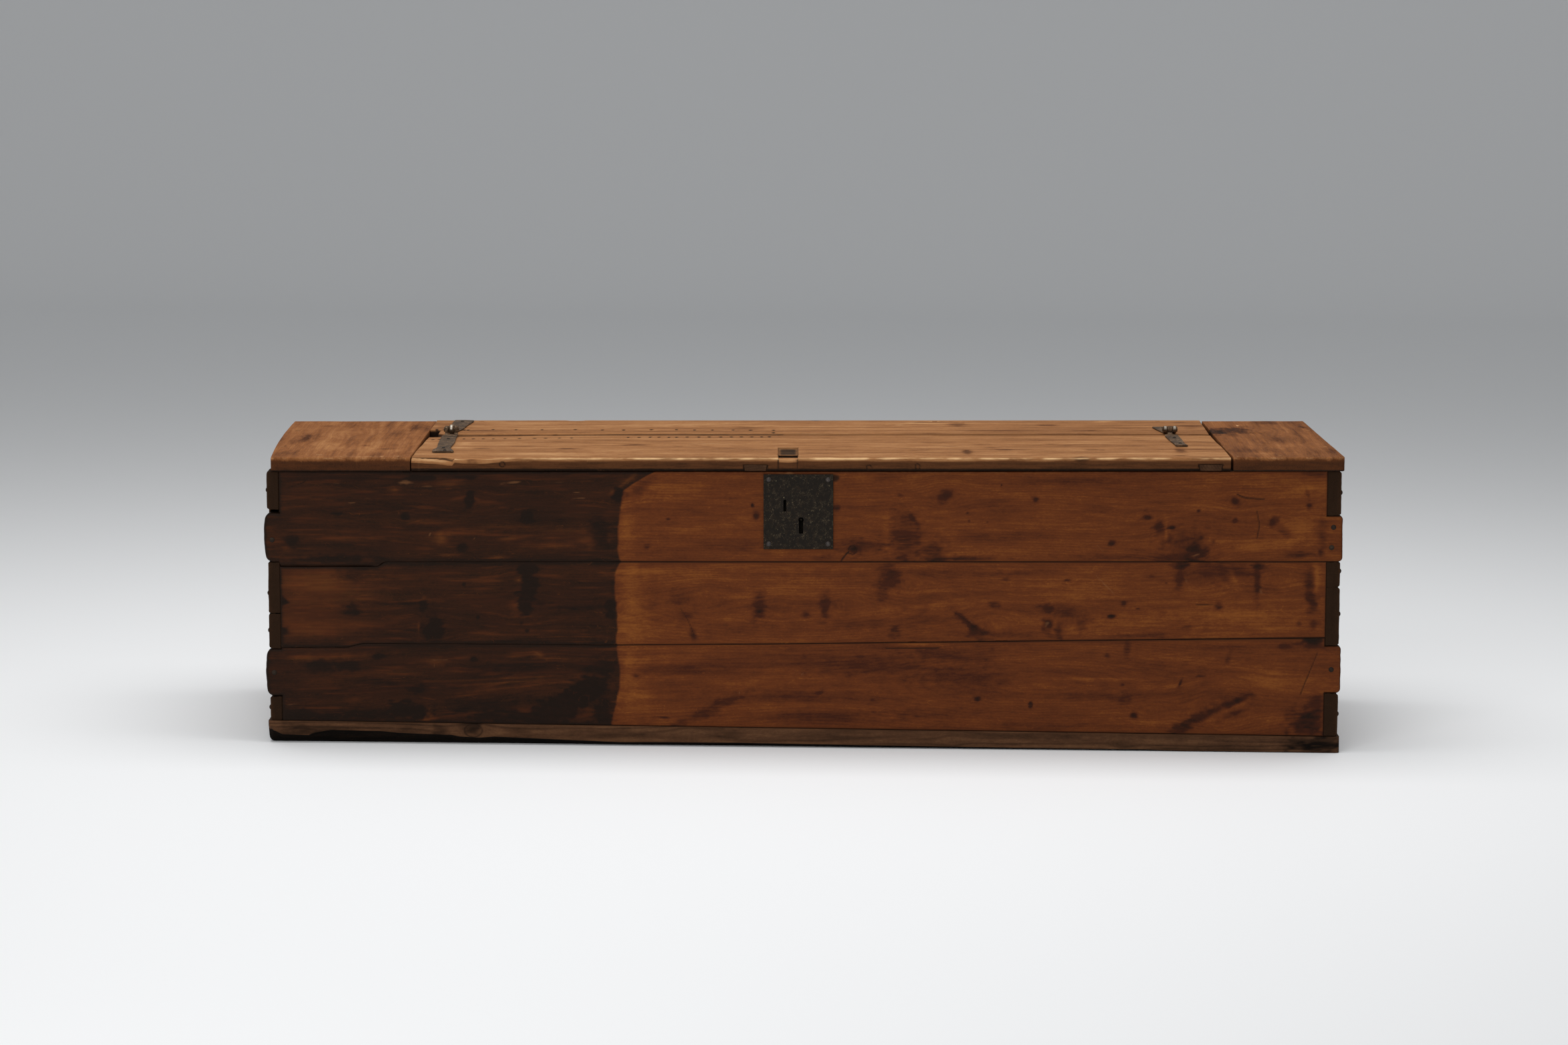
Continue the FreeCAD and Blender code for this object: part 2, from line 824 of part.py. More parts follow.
lock_plate = new_body("lock_plate_blank")
pad(lock_plate, "XZ_Plane", outer_face,
    rectangle(plate_left, plate_foot, plate_right, plate_top), size("plate_thick"))
plate_face = outer_face + size("plate_thick")
half_stem = size("keyhole_stem") / 2
bore(lock_plate, "XZ_Plane", plate_face, (keyhole_x, keyhole_z), eye_radius)
pocket(lock_plate, "XZ_Plane", plate_face,
       rectangle(keyhole_x - half_stem, keyhole_z - size("keyhole_length"),
                 keyhole_x + half_stem, keyhole_z))
half_staple = size("staple_width") / 2
staple_foot = bolt_middle - size("staple_length") / 2
staple_head = bolt_middle + size("staple_length") / 2 - half_staple
pocket(lock_plate, "XZ_Plane", plate_face, [
    (staple_x - half_staple, staple_foot),
    (staple_x + half_staple, staple_foot),
    (staple_x + half_staple, staple_head),
    (staple_x, staple_head + half_staple),
    (staple_x - half_staple, staple_head),
], arcs={2: half_staple, 3: half_staple})
blanks["lock_plate"] = lock_plate

# The bolt rests drawn back, with its tip just clear of the staple's slot.
bolt_front = outer_face - bolt_fit
bolt_tip = staple_x + half_staple + size("bolt_clear")
bolt_end = bolt_tip + size("bolt_length")
bolt_foot = bolt_middle - half_bolt
bolt_top = bolt_middle + half_bolt
half_talon = size("talon_width") / 2
bolt = new_body("lock_bolt")
pad(bolt, "XZ_Plane", bolt_front - size("bolt_thick"), [
    (bolt_tip, bolt_foot),
    (keyhole_x - half_talon, bolt_foot),
    (keyhole_x - half_talon, bolt_foot + size("talon_depth")),
    (keyhole_x + half_talon, bolt_foot + size("talon_depth")),
    (keyhole_x + half_talon, bolt_foot),
    (bolt_end, bolt_foot),
    (bolt_end, bolt_top),
    (bolt_tip, bolt_top),
], size("bolt_thick"))
finished["lock_bolt"] = bolt

channel_front = bolt_front - size("bolt_thick") - bolt_fit
guide_back = channel_front - size("guide_wall")
guide_low = bolt_foot - bolt_fit
guide_high = bolt_top + bolt_fit
GUIDE_OUTLINE = [
    (-outer_face, guide_low - size("guide_wall")),
    (-guide_back, guide_low - size("guide_wall")),
    (-guide_back, guide_high + size("guide_wall")),
    (-outer_face, guide_high + size("guide_wall")),
    (-outer_face, guide_high),
    (-channel_front, guide_high),
    (-channel_front, guide_low),
    (-outer_face, guide_low),
]
TAIL_GUIDE_SHARE = 0.4
GUIDE_PLACES = {
    "tip": keyhole_x - half_talon - size("guide_width"),
    "tail": between(keyhole_x + half_talon, bolt_end, TAIL_GUIDE_SHARE),
}
for name, place in GUIDE_PLACES.items():
    body = new_body(f"bolt_guide_{name}")
    pad(body, "YZ_Plane", place, GUIDE_OUTLINE, size("guide_width"))
    finished[f"bolt_guide_{name}"] = body

# A leaf spring held at its foot leans on the bolt's back.
spring_tip = keyhole_x
spring_foot = bolt_end
spring_bend = between(spring_tip, spring_foot, 0.25)
spring_rise = half_bolt
spring_thick = size("spring_thick")
spring_low = bolt_top + bolt_fit
spring_root = guide_high + size("guide_wall") + spring_rise
body = new_body("bolt_spring")
pad(body, "XZ_Plane", outer_face - size("spring_width"), [
    (spring_tip, spring_low),
    (spring_bend, spring_low),
    (spring_foot - size("guide_width"), spring_root),
    (spring_foot, spring_root),
    (spring_foot, spring_root + spring_rise),
    (spring_foot - size("guide_width"), spring_root + spring_rise),
    (spring_bend, spring_low + spring_thick),
    (spring_tip, spring_low + spring_thick),
], size("spring_width"))
finished["bolt_spring"] = body

cover_margin = size("cover_margin")
cover = new_body("lock_cover_blank")
pad(cover, "XZ_Plane", inner_face - size("cover_thick"), rectangle(
    mortise_left - cover_margin, mortise_foot - cover_margin,
    mortise_right + cover_margin, mortise_top + cover_margin), size("cover_thick"))
blanks["lock_cover"] = cover

body = new_body("key_pin")
key_pin_front = plate_face - size("key_pin_setback")
pad_round(body, "XZ_Plane", inner_face, (keyhole_x, keyhole_z), size("key_pin_round"),
          key_pin_front - inner_face)
finished["key_pin"] = body


# ---------------------------------------------------------------- nails and pegs

# A forged nail's point, in shank radii, and the shoulder of its domed head.
POINT_LENGTH_SHARE = 3
CROWN_SIDE_SHARE = 0.6
CROWN_RISE_SHARE = 0.75


def nail(place, way, length, radius, head_radius, head_rise, flat=False):
    """A forged nail: a low domed or flat head at place, and a pointed shank along way."""
    point = radius * POINT_LENGTH_SHARE
    profile = [
        Vector(0, 0, -head_rise),
        Vector(head_radius, 0, 0),
        Vector(radius, 0, 0),
        Vector(radius, 0, length - point),
        Vector(0, 0, length),
    ]
    if flat:
        profile[0:2] = [Vector(0, 0, 0), Vector(head_radius, 0, 0),
                        Vector(head_radius, 0, head_rise), Vector(radius, 0, head_rise)]
        profile.pop(4)
        edges = [Part.LineSegment(a, b).toShape() for a, b in zip(profile, profile[1:])]
    else:
        crown = Vector(head_radius * CROWN_SIDE_SHARE, 0, -head_rise * CROWN_RISE_SHARE)
        edges = [Part.Arc(profile[0], crown, profile[1]).toShape()]
        edges += [Part.LineSegment(a, b).toShape()
                  for a, b in zip(profile[1:], profile[2:])]
    edges.append(Part.LineSegment(profile[-1], profile[0]).toShape())
    half_section = Part.Face(Part.Wire(edges))
    shape = half_section.revolve(Vector(0, 0, 0), Vector(0, 0, 1), 360)
    shape.Placement = FreeCAD.Placement(place, FreeCAD.Rotation(Vector(0, 0, 1), way))
    return shape


def fastener_group(label, shapes, leans=True):
    """One node that holds identical fasteners as separate solids."""
    feature = document.addObject("Part::Feature", label)
    feature.Label = label
    feature.Shape = Part.makeCompound(shapes)
    if leans:
        lean_onto_floor(feature)
    finished[label] = feature
    return feature


def wall_nail(x, y, z, way):
    """A nail of the kind that holds the corners."""
    return nail(Vector(x, y, z), way, size("wall_nail_length").number,
                size("nail_round").number, size("nail_head_round").number,
                size("nail_head_rise").number)


def middle_of(first, second, share=0.5):
    """The number of a place between two sizes."""
    return between(first, second, share).number


# Corner nails: how far in through the side wall's thickness they stand.
LEFT_NAIL_SHARE = 0.42
RIGHT_NAIL_SHARE = 0.55
left_nail_x = middle_of(-half_length, left_inside, LEFT_NAIL_SHARE)
right_nail_x = middle_of(half_length, right_inside, RIGHT_NAIL_SHARE)
lower_right_nail_x = middle_of(half_length, right_inside, RIGHT_NAIL_SHARE + 0.12)
LONG_WALL_NAILS = [
    (left_nail_x, middle_of(upper_seam, size("left_high_finger"), 0.45)),
    (left_nail_x, middle_of(size("left_low_finger_foot"), size("left_low_finger"))),
    (right_nail_x, middle_of(upper_seam, size("right_high_finger"), 0.75)),
    (lower_right_nail_x, middle_of(upper_seam, size("right_high_finger"), 0.31)),
    (right_nail_x, middle_of(size("right_low_finger_foot"), size("right_low_finger"))),
]
front_nails = fastener_group("front_nails", [
    wall_nail(x, -outer_face.number, z, Vector(0, 1, 0)) for x, z in LONG_WALL_NAILS])
rear_nails = fastener_group("rear_nails", [
    wall_nail(x, outer_face.number, z, Vector(0, -1, 0)) for x, z in LONG_WALL_NAILS])

middle_of_wall = middle_of(inner_face, outer_face)
LEFT_NAIL_HEIGHTS = [
    middle_of(size("left_high_finger") + size("left_high_gap"), wall_top),
    middle_of(size("left_side_seam"), upper_seam, 0.38),
    middle_of(size("left_low_finger"), size("left_side_seam")),
    middle_of(base_top_at(-half_length), size("left_low_finger_foot")),
]
RIGHT_NAIL_HEIGHTS = [
    middle_of(size("right_high_finger"), wall_top),
    middle_of(size("right_side_seam"), upper_seam, 0.6),
    middle_of(lower_seam_at(half_length), size("right_side_seam"), 0.45),
    middle_of(base_top_at(half_length), size("right_low_finger_foot")),
]
left_nails = fastener_group("left_nails", [
    wall_nail(-half_length.number, y, z, Vector(1, 0, 0))
    for z in LEFT_NAIL_HEIGHTS for y in (-middle_of_wall, middle_of_wall)])
right_nails = fastener_group("right_nails", [
    wall_nail(half_length.number, y, z, Vector(-1, 0, 0))
    for z in RIGHT_NAIL_HEIGHTS for y in (-middle_of_wall, middle_of_wall)])


def base_nail(x, y):
    """A nail driven straight up through the base, its flat head flush with the floor."""
    return nail(Vector(x, y, 0), Vector(0, 0, 1), size("base_nail_length").number,
                size("nail_round").number, size("nail_head_round").number,
                size("nail_head_rise").number, flat=True)


# Where base nails stand along the half length, and across the side walls' feet.
BASE_NAIL_SHARES = (-0.9, -0.45, 0.0, 0.45, 0.9)
side_wall_base_nail_y = inner_face.number / 3
base_places = [(half_length.number * share, y) for share in BASE_NAIL_SHARES
               for y in (-middle_of_wall, middle_of_wall)]
base_places += [(x + side_shift.number, y)
                for x in (middle_of(-half_length, left_inside),
                          middle_of(right_inside, half_length))
                for y in (-side_wall_base_nail_y, side_wall_base_nail_y)]
base_nails = fastener_group("base_nails", [base_nail(x, y) for x, y in base_places],
                            leans=False)


def peg(x, y, top):
    """A round wooden peg, flush with a board of the top, that runs down into a wall."""
    length = size("peg_length").number
    return Part.makeCylinder(size("peg_round").number, length,
                             Vector(x, y, top - length))


end_top = end_board_top.number
rear_top = rear_board_top.number
left_wall_middle = middle_of(-half_length, left_inside)
right_wall_middle = middle_of(right_inside, half_length)
left_board_middle = middle_of(left_inside, left_seam)
right_board_middle = middle_of(right_seam, right_inside)
side_peg_y = inner_face.number / 2
REAR_PEG_SHARES = (0.06, 0.35, 0.65, 0.94)
pegs = [peg(x, y, end_top) for x in (left_wall_middle, right_wall_middle)
        for y in (-side_peg_y, side_peg_y)]
pegs += [peg(x, y, end_top) for x in (left_board_middle, right_board_middle)
         for y in (-middle_of_wall, middle_of_wall)]
pegs += [peg(middle_of(left_seam, right_seam, share), middle_of_wall, rear_top)
         for share in REAR_PEG_SHARES]
top_pegs = fastener_group("top_board_pegs", pegs)


def leaf_nail(x, y, z, way=Vector(0, 0, -1)):
    """A small nail that holds hinge and lock iron."""
    return nail(Vector(x, y, z), way, size("leaf_nail_length").number,
                size("leaf_nail_round").number, size("leaf_nail_head_round").number,
                size("nail_head_rise").number * 0.75)


# Hinge nails: (place beside the middle of the knuckles, share of the plate's reach).
LEFT_STRAP_NAILS = [(1, 0.3), (3, 0.82), (8, 0.95)]
RIGHT_STRAP_NAILS = [(2, 0.35), (5, 0.85)]
LEFT_LEAF_NAILS = [(6, 0.86), (4, 0.35)]
RIGHT_LEAF_NAILS = [(-6, 0.72), (9, 0.5)]


def plate_nails_along(middle, root, end, top, places):
    """The nails of one hinge plate."""
    return [leaf_nail(middle.number + beside, middle_of(root, end, share), top.number)
            for beside, share in places]


strap_top = lid_top + plate
leaf_top = rear_board_top + plate
strap_nails = fastener_group("hinge_strap_nails", (
    plate_nails_along(left_hinge, strap_rear, left_strap_end, strap_top, LEFT_STRAP_NAILS)
    + plate_nails_along(right_hinge, strap_rear, right_strap_end, strap_top,
                        RIGHT_STRAP_NAILS)))
leaf_nails = fastener_group("hinge_leaf_nails", (
    plate_nails_along(left_hinge, leaf_front, left_leaf_end, leaf_top, LEFT_LEAF_NAILS)
    + plate_nails_along(right_hinge, leaf_front, right_leaf_end, leaf_top,
                        RIGHT_LEAF_NAILS)))

plate_inset = size("plate_nail_inset").number
plate_nails = fastener_group("lock_plate_nails", [
    nail(Vector(x, -plate_face.number, z), Vector(0, 1, 0),
         size("plate_nail_length").number, size("leaf_nail_round").number,
         size("nail_head_round").number, size("nail_head_rise").number)
    for x in (plate_left.number + plate_inset, plate_right.number - plate_inset)
    for z in (plate_foot.number + plate_inset, plate_top.number - plate_inset)])
cover_face = -(inner_face - size("cover_thick")).number
cover_inset = size("cover_margin").number / 2
cover_nails = fastener_group("lock_cover_nails", [
    leaf_nail(x, cover_face, z, Vector(0, -1, 0))
    for x in (mortise_left.number - cover_inset, mortise_right.number + cover_inset)
    for z in (mortise_foot.number - cover_inset, mortise_top.number + cover_inset)])


# ---------------------------------------------------------------- holes for the fasteners

def fitted(label, *groups):
    """A blank with the holes that its nails and pegs make in it."""
    piece = document.addObject("Part::Cut", label)
    piece.Label = label
    piece.Base = blanks[label]
    if len(groups) == 1:
        piece.Tool = groups[0]
    else:
        tools = document.addObject("Part::Compound", f"{label}_holes")
        tools.Links = list(groups)
        piece.Tool = tools
    finished[label] = piece


fitted("front_plank_top", front_nails, left_nails, right_nails, top_pegs, plate_nails,
       cover_nails)
fitted("rear_plank_top", rear_nails, left_nails, right_nails, top_pegs)
for side in ("front", "rear"):
    wall_nails = front_nails if side == "front" else rear_nails
    fitted(f"{side}_plank_middle", left_nails, right_nails)
    fitted(f"{side}_plank_bottom", wall_nails, left_nails, right_nails, base_nails)
for side, side_nails in (("left", left_nails), ("right", right_nails)):
    fitted(f"{side}_side_plank_upper", front_nails, rear_nails, side_nails, top_pegs)
    fitted(f"{side}_side_plank_lower", front_nails, rear_nails, side_nails, base_nails)
    fitted(f"{side}_end_board", top_pegs)
for name in ("front", "middle", "rear"):
    fitted(f"base_board_{name}", base_nails)
fitted("rear_top_board", top_pegs, leaf_nails)
fitted("lid_board", strap_nails)
fitted("lid_batten_left", strap_nails)
for name in ("middle", "right"):
    blanks[f"lid_batten_{name}"].Label = f"lid_batten_{name}"
    finished[f"lid_batten_{name}"] = blanks[f"lid_batten_{name}"]
for side in ("left", "right"):
    fitted(f"{side}_hinge_strap", strap_nails)
    fitted(f"{side}_hinge_leaf", leaf_nails)
fitted("lock_plate", plate_nails)
fitted("lock_cover", cover_nails)


# ---------------------------------------------------------------- checks and files

document.recompute()
for item in document.Objects:
    if "Invalid" in item.State or "Error" in item.State:
        raise RuntimeError(f"{item.Label} did not build: {item.State}")
for label, piece in finished.items():
    if piece.Shape.isNull() or not piece.Shape.isValid():
        raise RuntimeError(f"{label} has no valid shape")

os.makedirs("parts", exist_ok=True)
for label, piece in finished.items():
    piece.Shape.exportStep(f"parts/{label}.step")
    print(f"{label}: {len(piece.Shape.Solids)} solid(s), "
          f"{piece.Shape.Volume / 1000:.1f} cm3")
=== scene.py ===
"""Visual model of a long plank coffer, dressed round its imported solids.

Every board is a surface worked out with numpy in the coffer's own square frame, in
millimetres, and then leaned onto the floor in metres as the solids are.
"""

from __future__ import annotations

import logging
import math
from dataclasses import dataclass
from enum import Enum
from functools import cache
from typing import Callable, Sequence

import bpy
import numpy as np
from mathutils import Matrix, Vector

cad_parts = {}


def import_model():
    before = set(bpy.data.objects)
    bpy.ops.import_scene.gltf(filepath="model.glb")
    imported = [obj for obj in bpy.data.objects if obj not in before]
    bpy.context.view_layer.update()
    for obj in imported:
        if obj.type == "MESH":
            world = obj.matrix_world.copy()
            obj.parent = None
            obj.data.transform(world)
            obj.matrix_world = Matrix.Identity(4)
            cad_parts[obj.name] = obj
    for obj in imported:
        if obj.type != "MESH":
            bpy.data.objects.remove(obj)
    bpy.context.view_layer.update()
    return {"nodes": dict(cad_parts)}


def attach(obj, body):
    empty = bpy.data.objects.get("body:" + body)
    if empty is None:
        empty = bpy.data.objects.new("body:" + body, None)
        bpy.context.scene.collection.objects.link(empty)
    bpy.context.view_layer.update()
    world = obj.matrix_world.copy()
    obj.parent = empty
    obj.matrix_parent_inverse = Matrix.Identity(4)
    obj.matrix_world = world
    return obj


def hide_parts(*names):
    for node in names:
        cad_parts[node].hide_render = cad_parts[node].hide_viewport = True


LOG = logging.getLogger("coffer")

Array = np.ndarray
Colour = tuple[float, float, float]
Place = tuple[float, float, float]
Corner = tuple[float, float]
Rows = tuple[tuple[float, ...], ...]
Pair = tuple[Array, Array]
Field = Callable[[Array, Array, Array], Array]

METRE = 0.001  # in one millimetre
LATTICE = 256  # corners along each side of the noise's square
SOFT, CRISP, SHARP = 0.9, 1.5, 2.5  # powers of a patch's fall towards its edge
FACE_RIM, HOLE_RIM = 1, 2  # what a point off the show face belongs to


# ---- the coffer's frame

@dataclass(frozen=True)
class CaseFrame:
    """The coffer's own square frame, in millimetres, and how it leans on the floor."""

    rise: float = 19.3
    length: float = 1876.0
    shift: float = 8.099

    def world(self, x: Array, y: Array, z: Array) -> Array:
        """Points in metres in the shared frame.

        Formula: turn about Y by the angle whose tangent is rise / length, then move
        along X by shift.

        Args:
            x: places along the length.
            y: places from front to rear.
            z: heights.

        Returns:
            One row of three numbers for each point.
        """
        angle = math.atan(self.rise / self.length)
        cos, sin = math.cos(angle), math.sin(angle)
        return np.stack([x * cos - z * sin + self.shift, y, x * sin + z * cos], -1) * METRE

    def floor(self, x: Array) -> Array:
        """Height of the floor below a place along the length."""
        return -x * self.rise / self.length

    def along(self, x: Array, left: float, right: float) -> Array:
        """A height that runs straight from left to right over the whole length."""
        return left + (right - left) * (x / self.length + 0.5)


CASE = CaseFrame()


# ---- numpy helpers

def value_noise(seed: int, u: Array, v: Array) -> Array:
    """Smooth noise from -1 to 1 with one lattice cell for each unit.

    Formula: random numbers on the corners of a square lattice, blended across each cell
    both ways by 3t^2 - 2t^3.

    Args:
        seed: names the lattice.
        u: first coordinate.
        v: second coordinate.

    Returns:
        The noise at each point.
    """
    table = np.random.default_rng(seed).uniform(-1, 1, (LATTICE, LATTICE))
    i, j = np.floor(u).astype(int), np.floor(v).astype(int)
    f, g = u - i, v - j
    f, g = f * f * (3 - 2 * f), g * g * (3 - 2 * g)
    i0, i1, j0, j1 = i % LATTICE, (i + 1) % LATTICE, j % LATTICE, (j + 1) % LATTICE
    low = table[i0, j0] * (1 - f) + table[i1, j0] * f
    high = table[i0, j1] * (1 - f) + table[i1, j1] * f
    return low * (1 - g) + high * g


def layered_noise(seed: int, u: Array, v: Array, layers: int = 3) -> Array:
    """Value noises added up, each at twice the rate and half the strength."""
    total = sum(value_noise(seed + k, u * 2 ** k, v * 2 ** k) / 2 ** k for k in range(layers))
    return total / (2 - 2.0 ** (1 - layers))


def smooth_step(x: Array, low: float, high: float) -> Array:
    """0 below low, 1 above high, and 3t^2 - 2t^3 between them."""
    t = np.clip((x - low) / (high - low), 0, 1)
    return t * t * (3 - 2 * t)


def cover(rows: Rows, u: Array, v: Array, seed: int, ragged: float, power: float) -> Array:
    """How far a set of soft patches covers each point, from 0 to 1.

    Formula: a patch is strength times exp(-r^(2 power)), where r is the distance from
    its middle in half sizes after the turn, stretched by noise; patches add up as
    1 - product of (1 - patch).

    Args:
        rows: for each patch its middle u and v, half length, half height, strength in
            percent and, if it is turned, its turn in degrees.
        u: places along the board.
        v: places across the board.
        seed: names the noise.
        ragged: how uneven a patch's outline is.
        power: 1 for a soft patch, more for a crisp one.

    Returns:
        The cover at each point.
    """
    uneven = 1 + ragged * layered_noise(seed, u / 11, v / 6, 2)
    clear = np.ones_like(u)
    for row in rows:
        turn = math.radians(row[5]) if len(row) > 5 else 0.0
        near = np.abs(u - row[0]) < 3 * (row[2] + row[3])
        du, dv = u[near] - row[0], v[near] - row[1]
        along = (du * math.cos(turn) + dv * math.sin(turn)) / row[2]
        across = (dv * math.cos(turn) - du * math.sin(turn)) / row[3]
        squared = (along ** 2 + across ** 2) * uneven[near] ** 2
        clear[near] *= 1 - row[4] / 100 * np.exp(-squared ** power)
    return 1 - clear


def trace(lines: Sequence[Rows], u: Array, v: Array, seed: int) -> Array:
    """How strongly a set of thin lines marks each point, from 0 to 1.

    Formula: strength times exp(-(d / width)^2), where d is the distance to the nearest
    stretch of the line, and the width shrinks to a third at the line's ends.

    Args:
        lines: for each line a first row of width and strength, then its points.
        u: places along the board.
        v: places across the board.
        seed: names the noise that bends the lines.

    Returns:
        The mark at each point.
    """
    mark = np.zeros_like(u)
    bent = v + 0.6 * value_noise(seed, u / 5, v / 9)
    for (width, strength), *points in lines:
        for (u0, v0), (u1, v1) in zip(points, points[1:]):
            length2 = (u1 - u0) ** 2 + (v1 - v0) ** 2
            t = np.clip(((u - u0) * (u1 - u0) + (bent - v0) * (v1 - v0)) / length2, 0, 1)
            d2 = (u - u0 - t * (u1 - u0)) ** 2 + (bent - v0 - t * (v1 - v0)) ** 2
            mark = np.maximum(mark, strength * np.exp(-d2 / width ** 2))
    return mark


# ---- shader writing

class Signal:
    """A node's output, with arithmetic that adds Math nodes to its material."""

    def __init__(self, shader: "Shader", socket: bpy.types.NodeSocket) -> None:
        """Wrap a socket of the shader."""
        self.shader = shader
        self.socket = socket

    def _math(self, operation: str, *operands: "Signal | float") -> "Signal":
        """Add one Math node on these operands."""
        inputs = dict(enumerate(operands))
        return self.shader.add("ShaderNodeMath", {"operation": operation}, inputs)

    def __add__(self, other: "Signal | float") -> "Signal":
        """Sum."""
        return self._math("ADD", self, other)

    __radd__ = __add__

    def __sub__(self, other: "Signal | float") -> "Signal":
        """Difference."""
        return self._math("SUBTRACT", self, other)

    def __rsub__(self, other: float) -> "Signal":
        """Difference from a number."""
        return self._math("SUBTRACT", other, self)

    def __mul__(self, other: "Signal | float") -> "Signal":
        """Product."""
        return self._math("MULTIPLY", self, other)

    __rmul__ = __mul__

    def __pow__(self, other: float) -> "Signal":
        """Power."""
        return self._math("POWER", self, other)

    def sine(self) -> "Signal":
        """Sine of the value in radians."""
        return self._math("SINE", self)

    def size(self) -> "Signal":
        """The value without its sign."""
        return self._math("ABSOLUTE", self)

    def step(self, low: float, high: float) -> "Signal":
        """0 below low and 1 above high, with a smooth way between."""
        return self.shader.add(
            "ShaderNodeMapRange", {"interpolation_type": "SMOOTHSTEP"},
            {"Value": self, "From Min": low, "From Max": high})


class Shader:
    """A material under construction."""

    def __init__(self, name: str) -> None:
        """Start a material with a bare surface shader.

        Args:
            name: name of the material.
        """
        self.material = bpy.data.materials.new(name)
        self.material.use_nodes = True
        self.tree = self.material.node_tree
        self.surface = self.tree.nodes["Principled BSDF"]

    def add(self, kind: str, settings: dict, inputs: dict, output: int | str = 0) -> Signal:
        """Add a node of any kind.

        Args:
            kind: the node's type.
            settings: properties, set first; "stops" gives a ramp's places and colours.
            inputs: values or signals, by socket name or number.
            output: the socket that the signal reads.

        Returns:
            The node's output.
        """
        node = self.tree.nodes.new(kind)
        for name, value in settings.items():
            if name == "stops":
                ramp = node.color_ramp.elements
                while len(ramp) < len(value):
                    ramp.new(1.0)
                for element, (place, colour) in zip(ramp, value):
                    element.position, element.color = place, (*colour, 1.0)
            else:
                setattr(node, name, value)
        for name, value in inputs.items():
            self.feed(node.inputs[name], value)
        return Signal(self, node.outputs[output])

    def feed(self, socket: bpy.types.NodeSocket, value: object) -> None:
        """Link a signal to a socket, or set the socket's own value.

        Args:
            socket: the socket.
            value: signal, colour or number.
        """
        if isinstance(value, Signal):
            self.tree.links.new(value.socket, socket)
        elif isinstance(value, tuple) and socket.type == "RGBA":
            socket.default_value = (*value, 1.0)
        else:
            socket.default_value = value

    def attribute(self, name: str, vector: bool = False) -> Signal:
        """Read one of the mesh's own attributes."""
        return self.add("ShaderNodeAttribute", {"attribute_name": name}, {},
                        "Vector" if vector else "Fac")

    def stretched(self, vector: Signal, scale: Place) -> Signal:
        """A vector with each axis multiplied by its own number."""
        return self.add("ShaderNodeVectorMath", {"operation": "MULTIPLY"},
                        {0: vector, 1: tuple(scale)})

    def noise(self, vector: Signal, scale: Place, detail: float = 2.0,
              roughness: float = 0.5, distortion: float = 0.0) -> Signal:
        """Noise from about -0.5 to 0.5, scale cells to the metre on each axis."""
        return self.add(
            "ShaderNodeTexNoise", {},
            {"Vector": self.stretched(vector, scale), "Scale": 1.0, "Detail": detail,
             "Roughness": roughness, "Distortion": distortion}) - 0.5

    def mix(self, factor: Signal, first: object, second: object) -> Signal:
        """Blend two colours."""
        return self.add("ShaderNodeMix", {"data_type": "RGBA", "clamp_factor": True},
                        {0: factor, 6: first, 7: second}, 2)

    def ramp(self, factor: Signal, stops: Sequence[tuple[float, Colour]]) -> Signal:
        """Colours that follow a value."""
        return self.add("ShaderNodeValToRGB", {"stops": stops}, {"Fac": factor})

    def bump(self, height: Signal, distance: float, strength: float) -> None:
        """Let a height in the range of about 0 to 1 tilt the surface."""
        normal = self.add("ShaderNodeBump", {},
                          {"Height": height, "Distance": distance, "Strength": strength})
        self.feed(self.surface.inputs["Normal"], normal)

    def finish(self, colour: object, roughness: object, **own: float) -> bpy.types.Material:
        """Set the surface's colour, roughness and plain numbers, and hand it over.

        Args:
            colour: colour or signal.
            roughness: number or signal.
            **own: further sockets by name, with spaces written as underscores.

        Returns:
            The material.
        """
        self.feed(self.surface.inputs["Base Color"], colour)
        self.feed(self.surface.inputs["Roughness"], roughness)
        for name, value in own.items():
            self.feed(self.surface.inputs[name.replace("_", " ")], value)
        return self.material


# ---- finishes

class Source(Enum):
    """Where a wood finish reads its grain from."""

    BOARD = "the board's own attributes"
    SOLID = "the solid's place, with the grain along X"
    SOLID_DEPTH = "the solid's place, with the grain along Y"


